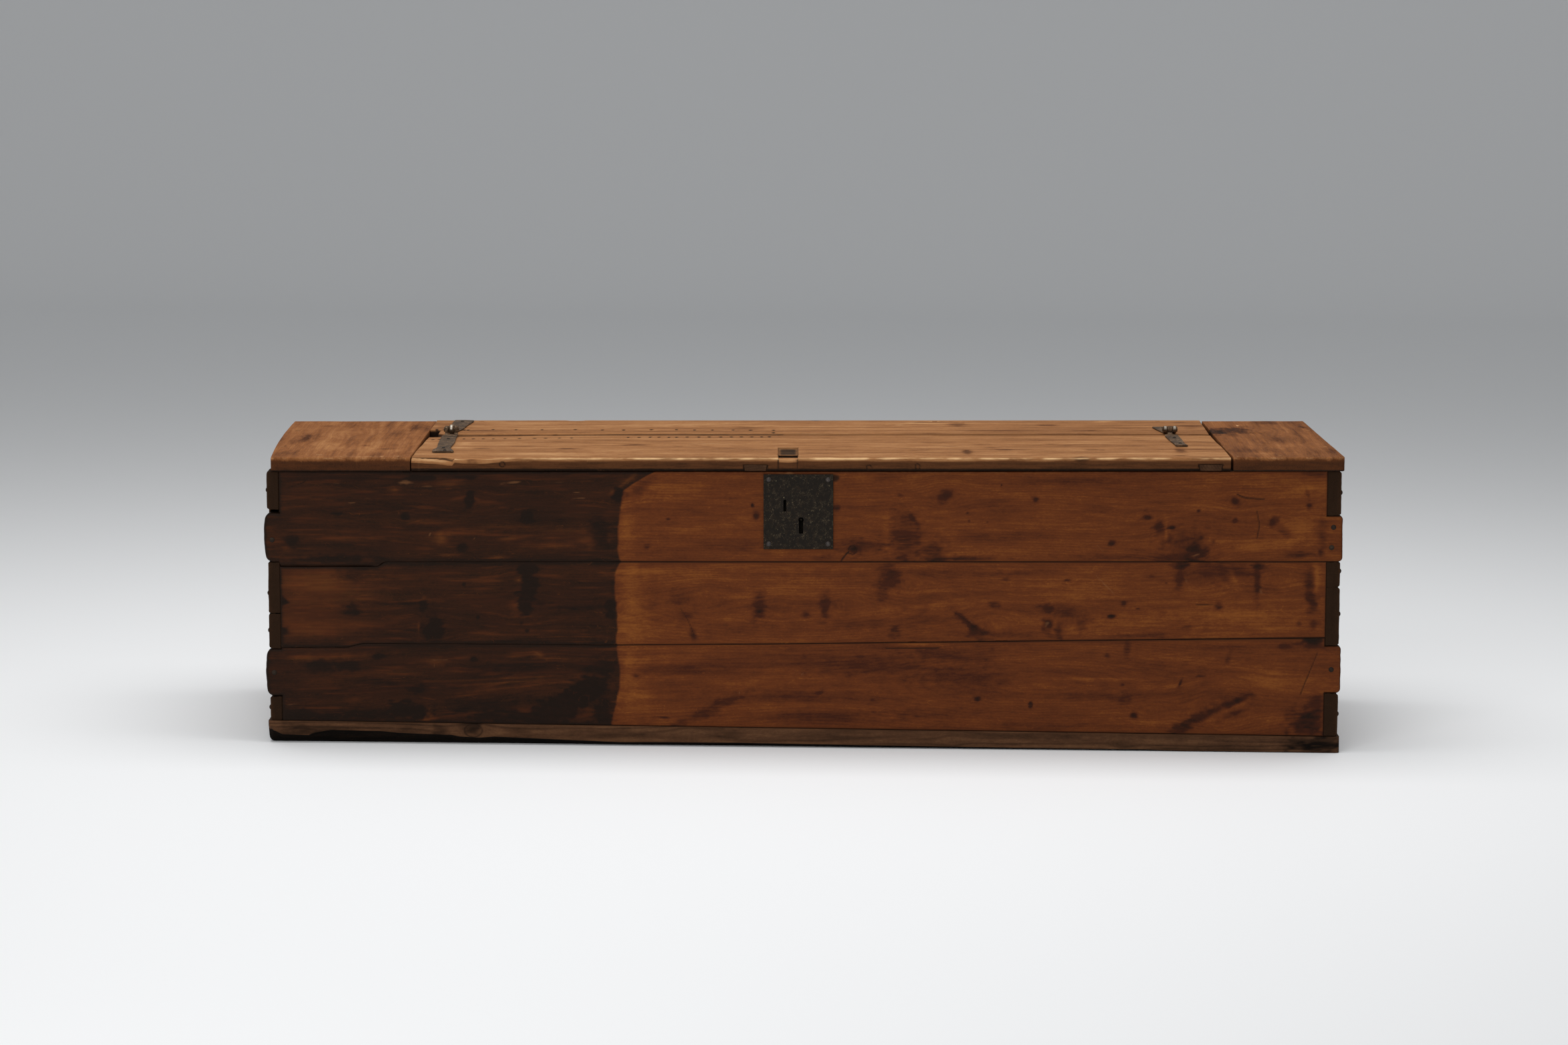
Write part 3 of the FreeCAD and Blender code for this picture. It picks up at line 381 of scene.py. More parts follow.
@dataclass(frozen=True)
class WoodFinish:
    """Old softwood: colours from dark to light, strengths, and scales in cells to the metre."""

    name: str
    shade: Colour
    body: Colour
    glow: Colour
    # colour of dirt; it also paints the boards' shade and shadows
    soot: Colour
    # colour of bare wood; it also paints highlights on worn arrises
    bare: Colour
    roughness: float = 0.55
    ring_pitch: float = 0.0042
    ring_strength: float = 0.16
    fibre_strength: float = 0.5
    relief: float = 0.0004
    specular: float = 0.12
    scuffs: float = 0.22
    mottling: float = 0.45
    fibre_scale: Place = (20.0, 430.0, 430.0)
    streak_scale: Place = (4.5, 62.0, 62.0)
    drift_scale: Place = (3.0, 22.0, 22.0)
    mottle_scale: Place = (34.0, 78.0, 78.0)
    speck_scale: Place = (190.0, 420.0, 420.0)
    scuff_scale: Place = (30.0, 42.0, 42.0)

    @cache
    def material(self, source: Source) -> bpy.types.Material:
        """Write the material, once for each source.

        Formula: the growth rings are sines of the distance from the pith; tone is the
        board's figure plus streaks, fibres, specks, mottles and fine scuffs, less the
        rings, and picks a colour between shade, body and glow; soot, which also carries the
        boards' painted shade, dark pores, and pale splinters and worn arrises, which carry a
        painted highlight, lie over it.

        Args:
            source: where the grain comes from.

        Returns:
            The material.
        """
        shader = Shader(f"{self.name}_{source.name.lower()}")
        if source is Source.BOARD:
            grain = shader.attribute("grain", vector=True)
            figure = shader.attribute("figure")
            soot = shader.attribute("soot")
            bare = shader.attribute("bare")
        else:
            place = shader.add("ShaderNodeTexCoord", {}, {}, "Object")
            turn = math.pi / 2 if source is Source.SOLID_DEPTH else 0.0
            grain = shader.add("ShaderNodeMapping", {},
                               {"Vector": place, "Location": (0.0, 0.03, 0.05),
                                "Rotation": (0.0, 0.0, turn)})
            figure = shader.noise(grain, (4.0, 40.0, 40.0)) * 1.2
            soot = shader.noise(grain, (9.0, 25.0, 25.0)).step(-0.1, 0.5) * 0.4
            bare = figure * 0.0
        fibre = shader.noise(grain, self.fibre_scale, 5.0, 0.68)
        streak = shader.noise(grain, self.streak_scale, 6.0, 0.66)
        parts = shader.add("ShaderNodeSeparateXYZ", {}, {"Vector": grain}, "Y")
        depth = Signal(shader, parts.socket.node.outputs["Z"])
        drift = shader.noise(grain, self.drift_scale)
        distance = (parts * parts + depth * depth) ** 0.5
        phase = (distance * (1 / self.ring_pitch) + drift * 3.2) * (2 * math.pi)
        ring = (phase.sine() * 0.5 + 0.5) ** 3.0 * (1.0 + streak * 2.0)
        mottle = shader.noise(grain, self.mottle_scale, 4.0, 0.64)
        speck = shader.noise(grain, self.speck_scale, 3.0, 0.6)
        hair = shader.noise(grain, self.scuff_scale, 1.0, 0.5, 0.8)
        scuff = (1.0 - (hair.size() * 70.0).step(0.0, 1.0)) * (streak + speck).step(0.0, 0.3)
        pore = (speck * 0.8 + fibre * 0.9).step(0.22, 0.42)
        tone = (figure * 0.5 + 0.5 + streak * 0.6 + fibre * self.fibre_strength
                + speck * 0.42 + mottle * self.mottling - ring * self.ring_strength
                + scuff * self.scuffs)
        colour = shader.ramp(tone, ((0.0, self.shade), (0.5, self.body), (1.0, self.glow)))
        # The dark mix lays on dirt, and also the painted shade and shadows that the boards carry.
        ragged = soot + (streak * 0.42 + fibre * 0.42 + speck * 0.34 + mottle * 0.25)
        soot_and_shade_mix = ragged.step(0.06, 1.12) * (1.0 - scuff * 0.35) + pore * 0.35
        colour = shader.mix(soot_and_shade_mix, colour, self.soot)
        # The pale mix lays on bare wood, and on worn arrises also a painted highlight.
        pale_wear_and_highlight = (bare + (streak * 0.5 + fibre * 0.7) * (bare.step(0.0, 0.3))).step(0.1, 0.95)
        colour = shader.mix(pale_wear_and_highlight, colour, self.bare)
        shader.bump(fibre + streak * 0.4 - ring * 0.15 + speck * 0.6 - pore * 0.3
                    - scuff * 0.15, self.relief, 0.8)
        gloss = self.roughness + fibre * 0.25 + streak * 0.2 + bare * 0.15
        return shader.finish(colour, gloss, Specular_IOR_Level=self.specular)


@dataclass(frozen=True)
class IronFinish:
    """Old forged iron: near-black scale with pits, rust and flecks, in cells to the metre."""

    name: str
    scale: Colour
    rust: Colour
    fleck: Colour
    fleck_size: float = 190.0
    fleck_share: float = 0.45
    patch_size: float = 60.0
    pit_size: float = 900.0
    fleck_strength: float = 1.0
    # colour of the painted highlight that the mesh's own worn lays on
    bare_metal_glint: Colour = (0.72, 0.66, 0.56)
    metallic: float = 0.55
    roughness: float = 0.5
    relief: float = 0.0005
    specular: float = 0.3

    @cache
    def material(self) -> bpy.types.Material:
        """Write the material, once.

        Formula: flecks lie where a ridged noise, 1 - |noise|, is near its crest inside
        patches of a coarser noise, with crumbs of a finer one; rust follows both; the
        mesh's own "worn" lays on a painted highlight of bright metal, where there is any.

        Returns:
            The material.
        """
        shader = Shader(self.name)
        place = shader.add("ShaderNodeTexCoord", {}, {}, "Object")
        coarse = shader.noise(place, (self.patch_size,) * 3, 3.0, 0.6)
        fine = shader.noise(place, (self.fleck_size,) * 3, 1.0, 0.5, 1.4)
        pits = shader.noise(place, (self.pit_size,) * 3, 2.0, 0.6)
        crest = 1.0 - (fine.size() * 30.0).step(0.0, 1.0)
        patch = (coarse + self.fleck_share - 0.5).step(-0.08, 0.10)
        fleck = crest * patch * (pits * 3.0 + 0.9).step(0.0, 1.0) * self.fleck_strength
        crumb = shader.noise(place, (self.fleck_size * 1.6,) * 3, 3.0, 0.7)
        fleck = fleck + crumb.step(0.14, 0.24) * 0.7
        rusty = (coarse * 1.0 + fine * 0.6).step(-0.1, 0.35)
        colour = shader.mix(rusty, self.scale, self.rust)
        colour = shader.mix(fleck, colour, self.fleck)
        # worn: a painted highlight, brighter and glossier
        worn = shader.attribute("worn") * (pits * 0.8 + 1.0)
        colour = shader.mix(worn, colour, self.bare_metal_glint)
        shader.bump(coarse * 0.6 + pits * 0.5 + fleck * 0.25, self.relief, 0.9)
        gloss = self.roughness + pits * 0.5 + rusty * 0.15 - worn * 0.28
        return shader.finish(colour, gloss, Metallic=worn * 0.4 + self.metallic,
                             Specular_IOR_Level=self.specular)


@dataclass(frozen=True)
class Finishes:
    """Every finish on the coffer."""

    wall: WoodFinish = WoodFinish(
        "waxed_wall", (0.052, 0.014, 0.0060), (0.128, 0.034, 0.0088), (0.245, 0.078, 0.0150),
        (0.0128, 0.0074, 0.0048), (0.23, 0.098, 0.038), ring_strength=0.08, specular=0.06)
    side: WoodFinish = WoodFinish(
        "worn_side", (0.045, 0.020, 0.010), (0.085, 0.035, 0.015), (0.140, 0.055, 0.020),
        (0.0215, 0.0108, 0.0056), (0.22, 0.105, 0.045), roughness=0.7, specular=0.04)
    # Its near-black dirt colour also paints the black shadow under the front board's waney edge.
    base: WoodFinish = WoodFinish(
        "base_board", (0.036, 0.0170, 0.0085), (0.083, 0.0375, 0.0180), (0.160, 0.075, 0.034),
        (0.0030, 0.0023, 0.0018), (0.25, 0.130, 0.065), roughness=0.65, ring_pitch=0.005,
        ring_strength=0.3, specular=0.05)
    top: WoodFinish = WoodFinish(
        "dry_top", (0.115, 0.043, 0.0160), (0.308, 0.136, 0.052), (0.50, 0.268, 0.118),
        (0.011, 0.0070, 0.0048), (0.68, 0.430, 0.215), roughness=0.66, specular=0.03,
        ring_strength=0.14)
    end: WoodFinish = WoodFinish(
        "dry_end", (0.088, 0.030, 0.0110), (0.240, 0.090, 0.0300), (0.40, 0.182, 0.068),
        (0.013, 0.0088, 0.0065), (0.62, 0.370, 0.185), roughness=0.64, specular=0.03,
        ring_strength=0.06)
    batten: WoodFinish = WoodFinish(
        "lid_batten", (0.026, 0.0120, 0.0065), (0.055, 0.0260, 0.0135), (0.10, 0.050, 0.024),
        (0.011, 0.0070, 0.0048), (0.2, 0.1, 0.05), roughness=0.7, specular=0.04)
    inner: WoodFinish = WoodFinish(
        "inside_wood", (0.115, 0.056, 0.027), (0.215, 0.115, 0.058), (0.31, 0.18, 0.095),
        (0.04, 0.025, 0.017), (0.4, 0.25, 0.14), roughness=0.75, specular=0.04,
        ring_strength=0.12)
    plate: IronFinish = IronFinish(
        "lock_plate_iron", (0.0125, 0.0093, 0.0066), (0.026, 0.0170, 0.0105),
        (0.200, 0.155, 0.090), fleck_size=170.0, fleck_share=0.47, patch_size=105.0,
        fleck_strength=0.5, metallic=0.25, roughness=0.58, specular=0.12)
    stud: IronFinish = IronFinish(
        "stud_iron", (0.048, 0.040, 0.036), (0.062, 0.046, 0.036), (0.20, 0.17, 0.14),
        fleck_size=300.0, metallic=0.4, roughness=0.45, specular=0.3)
    strap: IronFinish = IronFinish(
        "strap_iron", (0.060, 0.037, 0.021), (0.150, 0.086, 0.047), (0.34, 0.230, 0.135),
        fleck_size=120.0, fleck_share=0.5, metallic=0.2, roughness=0.6, specular=0.12)
    nail: IronFinish = IronFinish(
        "nail_iron", (0.020, 0.0135, 0.0095), (0.048, 0.028, 0.017), (0.13, 0.10, 0.07),
        fleck_size=500.0, metallic=0.3, roughness=0.6, specular=0.15)


FINISHES = Finishes()


# ---- boards

class Face(Enum):
    """Which way a board's show face looks.

    Each names the axes of the grain, of the width and of the depth, and says whether
    the depth grows along its axis.
    """

    FRONT = (0, 2, 1, True)
    REAR = (0, 2, 1, False)
    LEFT = (1, 2, 0, True)
    RIGHT = (1, 2, 0, False)
    TOP_LONG = (0, 1, 2, False)
    TOP_DEEP = (1, 0, 2, False)

    @property
    def hidden_source(self) -> Source:
        """Where the hidden side reads its grain from."""
        return Source.SOLID_DEPTH if self.value[0] == 1 else Source.SOLID

    @property
    def turned(self) -> bool:
        """Whether the board's faces have to be turned over to point outwards."""
        return (self.value[:3] in ((0, 1, 2), (1, 2, 0))) == self.value[3]

    def place(self, plane: float, a: Array, b: Array, depth: Array) -> list[Array]:
        """A point of the board in the coffer's frame.

        Args:
            plane: where the face lies on the axis that it looks along.
            a: places along the grain.
            b: places across the grain.
            depth: how far below the face the point lies.

        Returns:
            x, y and z.
        """
        _, width, look, grows = self.value
        spot = [a, a, a]
        spot[width], spot[look] = b, plane + depth if grows else plane - depth
        return spot


def box(low_a: float, low_b: float, high_a: float, high_b: float) -> tuple[Corner, ...]:
    """The corners of a rectangle, anticlockwise."""
    return (low_a, low_b), (high_a, low_b), (high_a, high_b), (low_a, high_b)


def unbent(a: Array, b: Array, depth: Array) -> Pair:
    """Every place stays where it is."""
    return a, b


def nothing(a: Array, b: Array, depth: Array | None = None) -> Array:
    """0 at every place."""
    return a * 0


def grid_lines(breaks: Sequence[float], pitch: float, bands: Rows) -> Array:
    """Places of the grid's lines along one side of a board.

    Formula: even steps between breaks, finer steps inside bands, and a few lines close
    beside the first and last break for the worn arris.

    Args:
        breaks: places that must have a line.
        pitch: widest step.
        bands: start, end and step of each finer stretch.

    Returns:
        The places in order.
    """
    close = (0.25, 0.6, 1.1, 1.8, 2.8, 4.2)
    marks = set(breaks)
    marks |= {breaks[0] + c for c in close} | {breaks[-1] - c for c in close}
    for start, end, _ in bands:
        marks |= {start, end}
    places = []
    ordered = sorted(marks)
    for low, high in zip(ordered, ordered[1:]):
        step = min([pitch] + [s for a, b, s in bands if a <= low and high <= b])
        count = max(1, math.ceil((high - low) / step - 0.01))
        places.append(np.linspace(low, high, count, endpoint=False))
    return np.concatenate(places + [np.array([ordered[-1]])])


@dataclass(frozen=True)
class Wear:
    """A stretch of one edge that is worn rounder than the rest."""

    edge: int
    at: float
    half: float
    extra: float
    steep: float = 1.0


@dataclass(frozen=True)
class Figure:
    """What the wood of one board shows: growth rings, patches, chips and cracks."""

    seed: int
    pith: Corner
    knots: Rows = ()
    stains: Rows = ()
    glows: Rows = ()
    chips: Rows = ()
    pits: Rows = ()
    cracks: tuple[Rows, ...] = ()
    scratches: tuple[Rows, ...] = ()
    contrast: float = 1.0
    lift: float = 0.0
    edge_dirt: float = 0.35
    edge_reach: float = 2.4
    # The edge faces darken by dirt and by painted shade.
    side_dirt_and_shade: float = 0.25
    side_lift: float = -0.5
    # How pale the worn arrises turn, as raw wood and as a painted highlight.
    arris_wear_and_highlight: float = 0.0
    broad: float = 0.75
    fine: float = 0.45
    glow_gain: float = 1.25
    stain_gain: float = 1.7
    planing: float = 0.22
    furrows: float = 0.10
    chip_depth: float = 0.9
    pit_depth: float = 0.7
    crack_depth: float = 1.6
    dirt: Field = nothing
    marks: Field = nothing

    def bent(self, a: Array, b: Array) -> Array:
        """Places across the grain, pushed together where the grain passes a knot.

        Formula: b minus its distance from the knot, times exp of minus the squared
        distance in knot sizes.

        Args:
            a: places along the grain.
            b: places across the grain.

        Returns:
            The bent places.
        """
        bent = b.copy()
        for at, across, radius in self.knots:
            near = np.exp(-((a - at) / (radius * 3.4)) ** 2 - ((b - across) / (radius * 2.2)) ** 2)
            bent -= 0.8 * (b - across) * near
        return bent + 2.0 * value_noise(self.seed + 40, a / 190, b / 60)

    def fields(self, a: Array, b: Array, depth: Array, edge: Array, worn: Array,
               rim: Array) -> dict[str, Array]:
        """The attributes that the wood finish reads.

        Formula: figure is noise drawn out along the bent grain, lighter in glows and
        darker in stains; soot is the greatest of stains, edge dirt and grime, cracks,
        pits, the sides' dirt and painted shade, the black painted shade on a hole's
        walls, and the board's own marks, some of them painted shadow; bare is the
        greatest of chips, scratches and worn arrises, whose paleness is raw wood and a
        painted highlight.

        Args:
            a: places along the grain.
            b: places across the grain.
            depth: depth below the face.
            edge: distance to the board's nearest edge.
            worn: how far the arris is worn down, in millimetres.
            rim: 0 on the face, FACE_RIM on the outer edges, HOLE_RIM in a hole.

        Returns:
            Attribute name to values.
        """
        seed = self.seed
        bent = self.bent(a, b)
        pith_depth = self.pith[1] * (1 + 0.45 * value_noise(seed + 41, a / 420, a * 0))
        across = bent - self.pith[0] - 6 * value_noise(seed + 42, a / 300, a * 0)
        grain = np.stack([a, across, depth + pith_depth], -1) * METRE
        stain = cover(self.stains, a, b, seed + 1, 0.5, CRISP)
        stain = np.clip(stain * (1 + 0.6 * layered_noise(seed + 14, a / 17, bent / 2.8)), 0, 1)
        glow = cover(self.glows, a, b, seed + 2, 0.5, SOFT)
        chip, pit, crack = self._cuts(a, b)
        scratch = trace(self.scratches, a, b, seed + 6)
        figure = self.contrast * (self.broad * layered_noise(seed + 7, a / 240, bent / 15)
                                  + self.fine * layered_noise(seed + 8, a / 70, bent / 4.5))
        figure = figure + self.lift + self.glow_gain * glow - self.stain_gain * stain
        soot = 0.9 * stain ** 1.5 + self.edge_dirt * np.exp(-edge / self.edge_reach)
        grime = self.dirt(a, b, depth)
        ember = smooth_step(layered_noise(seed + 9, a / 55, bent / 4.2), 0.1, 0.75)
        soot = soot + grime * (1 - 0.30 * ember) * (1 - 0.40 * glow)
        figure = figure - 0.2 * grime
        soot = np.clip(np.maximum(soot, np.maximum(crack, pit)), 0, 1)
        # Edge faces darken by dirt and painted shade; a hole's walls are painted black, as painted
        # shade.
        side = np.where(rim == HOLE_RIM, smooth_step(depth, 2.6, 3.4),
                        smooth_step(depth, 2.5, 11.0) * (rim == FACE_RIM))
        figure = figure + self.side_lift * side
        side_soot_and_shade = 0.85 + 0.4 * layered_noise(seed + 13, (a + b) / 38, depth / 3.5)
        side_soot_and_shade = np.where(rim == HOLE_RIM, 1.0, self.side_dirt_and_shade * side_soot_and_shade)
        soot = np.clip(np.maximum(soot, side * side_soot_and_shade), 0, 1)
        # The board's own marks include painted shadow under edges and in gaps.
        soot = np.maximum(soot, self.marks(a, b, depth))
        # Worn arrises turn pale, as raw wood and as a painted highlight.
        worn_and_lit_arris = smooth_step(worn, 0.1, 0.7) * (1 - smooth_step(depth, 2.0, 6.5))
        patchy = layered_noise(seed + 10, a / 24, b / 8)
        worn_and_lit_arris = worn_and_lit_arris * self.arris_wear_and_highlight * np.clip(0.6 + 0.7 * patchy, 0, 1.2)
        bare = np.clip(np.maximum(chip, np.maximum(scratch, worn_and_lit_arris)) - crack - pit, 0, 1)
        return {"grain": grain, "figure": figure, "soot": soot, "bare": bare}

    def _cuts(self, a: Array, b: Array) -> tuple[Array, Array, Array]:
        """How far chips, pits and cracks cut into the wood, from 0 to 1."""
        return (cover(self.chips, a, b, self.seed + 3, 0.6, CRISP),
                cover(self.pits, a, b, self.seed + 4, 0.3, SHARP),
                trace(self.cracks, a, b, self.seed + 5))

    def relief(self, a: Array, b: Array) -> Array:
        """Depth of the planed, dented and cracked face below flat, in millimetres.

        Formula: broad and fine noise, plus the cover of chips, pits and cracks, each
        times its own depth.

        Args:
            a: places along the grain.
            b: places across the grain.

        Returns:
            The depth at each place.
        """
        waves = self.planing * (1 + layered_noise(self.seed + 11, a / 130, b / 45))
        across = self.bent(a, b) / 3.6
        grain = self.furrows * (1 + layered_noise(self.seed + 12, a / 60, across))
        chip, pit, crack = self._cuts(a, b)
        return (waves + grain + self.chip_depth * chip + self.pit_depth * pit
                + self.crack_depth * crack)


@dataclass(frozen=True)
class Piece:
    """A new piece's name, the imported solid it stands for, its body and its slot."""

    name: str
    node: str
    body: str
    slot: str

    def make(self, points: Sequence[Array], faces: list[list[int]], fields: dict[str, Array],
             smooth: Array, *materials: bpy.types.Material) -> bpy.types.Object:
        """Make the mesh, dress it and hand it to its body.

        Args:
            points: x, y and z of the corners in the coffer's frame, in millimetres.
            faces: corner numbers of each face.
            fields: values for each corner, by attribute name.
            smooth: whether each face is shaded smooth.
            *materials: one for the whole piece, or one for its smooth faces and one for
                the rest.

        Returns:
            The object.
        """
        mesh = bpy.data.meshes.new(self.name)
        mesh.from_pydata(CASE.world(*points).tolist(), [], faces)
        mesh.polygons.foreach_set("use_smooth", smooth)
        for title, values in fields.items():
            kind, key = ("FLOAT_VECTOR", "vector") if values.ndim == 2 else ("FLOAT", "value")
            layer = mesh.attributes.new(title, kind, "POINT")
            layer.data.foreach_set(key, values.astype(np.float32).ravel())
        for material in materials:
            mesh.materials.append(material)
        mesh.polygons.foreach_set(
            "material_index", np.where(smooth, 0, len(materials) - 1).astype(np.int32))
        piece = bpy.data.objects.new(self.name, mesh)
        bpy.context.scene.collection.objects.link(piece)
        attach(piece, self.body)
        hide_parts(self.node)
        LOG.info("%s: %d faces on %s", self.name, len(faces), self.body)
        return piece


@dataclass
class Board:
    """One board: a worn show face on a grid, its edges, and a plain hidden face.

    The outline is named anticlockwise as one looks at the face, with right-angled
    corners only; warp moves it to its true shape.
    """

    piece: Piece
    face: Face
    plane: float
    thick: float
    outline: tuple[Corner, ...]
    figure: Figure
    finish: WoodFinish
    arris: tuple[float, ...]
    wear: tuple[Wear, ...]
    pitch: Corner
    bands: tuple[Rows, Rows] = ((), ())
    hole: tuple[Corner, ...] = ()
    edge_rows: int = 3
    edge_power: float = 1.0
    edge_relief: float = 0.0
    slack: float = 0.35
    warp: Callable[[Array, Array, Array], Pair] = unbent
    sink: Callable[[Array, Array], Array] = nothing
    notch: Field = nothing
    waver: Corner = (0.25, 48.0)
    back_arris: float = 1.0

    def _distances(self, a: Array, b: Array) -> list[tuple[Array, Array, Corner]]:
        """Distance to each edge, place along it, and its outward direction.

        Formula: the place is the point's shadow on the edge, kept between its corners.

        Args:
            a: places along the grain.
            b: places across the grain.

        Returns:
            Gap, place and direction for each edge.
        """
        found = []
        for (a0, b0), (a1, b1) in zip(self.outline, self.outline[1:] + self.outline[:1]):
            length = math.hypot(a1 - a0, b1 - b0)
            ta, tb = (a1 - a0) / length, (b1 - b0) / length
            along = np.clip((a - a0) * ta + (b - b0) * tb, 0, length)
            gap = np.hypot(a - a0 - along * ta, b - b0 - along * tb)
            found.append((gap, a0 * abs(ta) + b0 * abs(tb) + along * (ta + tb), (tb, -ta)))
        return found

    def _worn(self, a: Array, b: Array) -> tuple[Array, Array, Array, Array]:
        """How the arrises lower and pull in the face.

        Formula: the arris is a quarter circle of radius r, so at a distance d < r from
        the edge the face lies r - sqrt(r^2 - (r - d)^2) lower.

        Args:
            a: places along the grain.
            b: places across the grain.

        Returns:
            Depth of the arris, distance to the nearest edge, and the pull along a and b.
        """
        seed = self.figure.seed
        drop, nearest = np.zeros_like(a), np.full_like(a, 1e3)
        pull_a, pull_b = np.zeros_like(a), np.zeros_like(b)
        for edge, (gap, along, out) in enumerate(self._distances(a, b)):
            radius = np.full_like(a, self.arris[edge])
            for spot in (w for w in self.wear if w.edge == edge):
                radius += spot.extra * np.exp(
                    -np.abs((along - spot.at) / spot.half) ** (2 * spot.steep))
            radius = radius * (1 + self.waver[0] * layered_noise(
                seed + 20 + edge, along / self.waver[1], a * 0))
            reach = np.clip(radius - gap, 0, None)
            depth = radius - np.sqrt(np.clip(radius ** 2 - reach ** 2, 0, None))
            drop = np.maximum(drop, depth)
            nearest = np.minimum(nearest, gap)
            loose = 0.5 + 0.5 * layered_noise(seed + 30 + edge, along / 45, a * 0)
            amount = self.slack * loose * np.exp(-gap / 7)
            pull_a -= out[0] * amount
            pull_b -= out[1] * amount
        return drop, nearest, pull_a, pull_b

    @staticmethod
    def _inside(a: Array, b: Array, corners: tuple[Corner, ...]) -> Array:
        """Whether each point lies inside a ring of corners, by counting crossings.

        Args:
            a: places along the grain.
            b: places across the grain.
            corners: the ring.

        Returns:
            True where a point is inside.
        """
        inside = np.zeros(a.shape, bool)
        for (a0, b0), (a1, b1) in zip(corners, corners[1:] + corners[:1]):
            if b0 != b1:
                crosses = (b0 > b) != (b1 > b)
                inside ^= crosses & (a < (a1 - a0) * (b - b0) / (b1 - b0) + a0)
        return inside

    @staticmethod
    def _loop(corners: tuple[Corner, ...], us: Array, vs: Array) -> Array:
        """Grid numbers of the points that follow a ring of corners.

        Args:
            corners: the ring.
            us: grid lines along the grain.
            vs: grid lines across it.

        Returns:
            One row of two line numbers for each point.
        """
        points = []
        for (a0, b0), (a1, b1) in zip(corners, corners[1:] + corners[:1]):
            i0, i1 = (int(np.argmin(abs(us - x))) for x in (a0, a1))
            j0, j1 = (int(np.argmin(abs(vs - x))) for x in (b0, b1))
            steps = np.arange(abs(i1 - i0) + abs(j1 - j0))
            points.append(np.stack([i0 + np.sign(i1 - i0) * steps,
                                    j0 + np.sign(j1 - j0) * steps], -1))
        return np.concatenate(points)

    def build(self) -> bpy.types.Object:
        """Make the board's mesh and hand it to its body.

        Formula: the face is a grid lowered by relief, sink and arris; its rim goes
        straight down in rings to the hidden side, which one flat polygon closes.

        Returns:
            The object.
        """
        corners = self.outline + self.hole
        us, vs = (grid_lines(sorted({corner[k] for corner in corners}), self.pitch[k],
                             self.bands[k]) for k in (0, 1))
        cells = np.meshgrid((us[1:] + us[:-1]) / 2, (vs[1:] + vs[:-1]) / 2, indexing="ij")
        wood = self._inside(*cells, self.outline) & ~self._inside(*cells, self.hole)
        wide = len(vs)
        near = np.flatnonzero(np.pad(wood, ((0, 1), (0, 1))))
        quads = np.stack([near, near + wide, near + wide + 1, near + 1], -1)
        used, quads = np.unique(quads, return_inverse=True)
        a, b = us[used // wide], vs[used % wide]
        drop, nearest, pull_a, pull_b = self._worn(a, b)
        true_a, true_b = self.warp(a, b, a * 0)
        depth = drop + self.figure.relief(true_a, true_b) + self.sink(true_a, true_b)
        depth = np.minimum(depth, self.thick * 0.6)
        columns = [(a + pull_a, b + pull_b, depth, nearest, drop, a * 0)]
        sides = [quads.reshape(-1, 4)]
        rims = []
        total = len(a)
        for kind, ring in enumerate(filter(None, (self.outline, self.hole)), FACE_RIM):
            loop = self._loop(ring, us, vs)
            first = np.searchsorted(used, loop[:, 0] * wide + loop[:, 1])
            parts, quads, last = self._edge(columns[0], first, total, kind)
            columns += parts
            sides.append(quads)
            rims.append(last)
            total += sum(len(part[0]) for part in parts)
        a, b, depth, *rest = (np.concatenate(column) for column in zip(*columns))
        true_a, true_b = self.warp(a, b, depth)
        turn = -1 if self.face.turned else 1
        quads = np.concatenate(sides)[:, ::turn]
        faces = quads.tolist() + [back[::turn] for back in self._backs(rims, a)]
        smooth = np.arange(len(faces)) < len(quads)
        return self.piece.make(
            self.face.place(self.plane, true_a, true_b, depth), faces,
            self.figure.fields(true_a, true_b, depth, *rest), smooth,
            self.finish.material(Source.BOARD),
            FINISHES.inner.material(self.face.hidden_source))

    def _edge(self, face: tuple[Array, ...], first: Array, total: int, kind: int
              ) -> tuple[list[tuple[Array, ...]], Array, Array]:
        """The rings from a rim of the face down to the hidden side.

        Args:
            face: the face's columns.
            first: the rim's points in the face.
            total: number of points so far.
            kind: FACE_RIM for the outer edges, HOLE_RIM for a hole.

        Returns:
            The rings' columns, their quads, and the last ring's points.
        """
        a, b, depth, _, drop, _ = (column[first] for column in face)
        step_a, step_b = np.roll(a, -1) - np.roll(a, 1), np.roll(b, -1) - np.roll(b, 1)
        length = np.hypot(step_a, step_b) + 1e-9
        out_a, out_b = step_b / length, -step_a / length
        shares = np.linspace(0, 1, self.edge_rows + 1)[1:] ** self.edge_power
        rows = [(depth + (self.thick - self.back_arris - depth) * share, 0.0,
                 math.sin(math.pi * share)) for share in shares]
        rows += [(self.thick - 0.3 * self.back_arris, 0.3 * self.back_arris, 0.0),
                 (self.thick, self.back_arris, 0.0)]
        columns = []
        for down, inset, freedom in rows:
            down = np.broadcast_to(down, a.shape).astype(float)
            bulge = layered_noise(self.figure.seed + 60, (a + b) / 26, down / 9)
            shift = bulge * self.edge_relief * freedom - inset
            if kind == FACE_RIM:
                shift = shift - self.notch(a, b, down)
            columns.append((a + out_a * shift, b + out_b * shift, down, a * 0,
                            np.maximum(drop - (down - depth), 0), a * 0 + kind))
        rings = total + np.arange(len(rows) * len(a)).reshape(len(rows), -1)
        stack = np.concatenate([first[None], rings])
        following = np.roll(stack, -1, axis=1)
        quads = np.stack([stack[:-1], stack[1:], following[1:], following[:-1]], -1)
        return columns, quads.reshape(-1, 4), stack[-1]

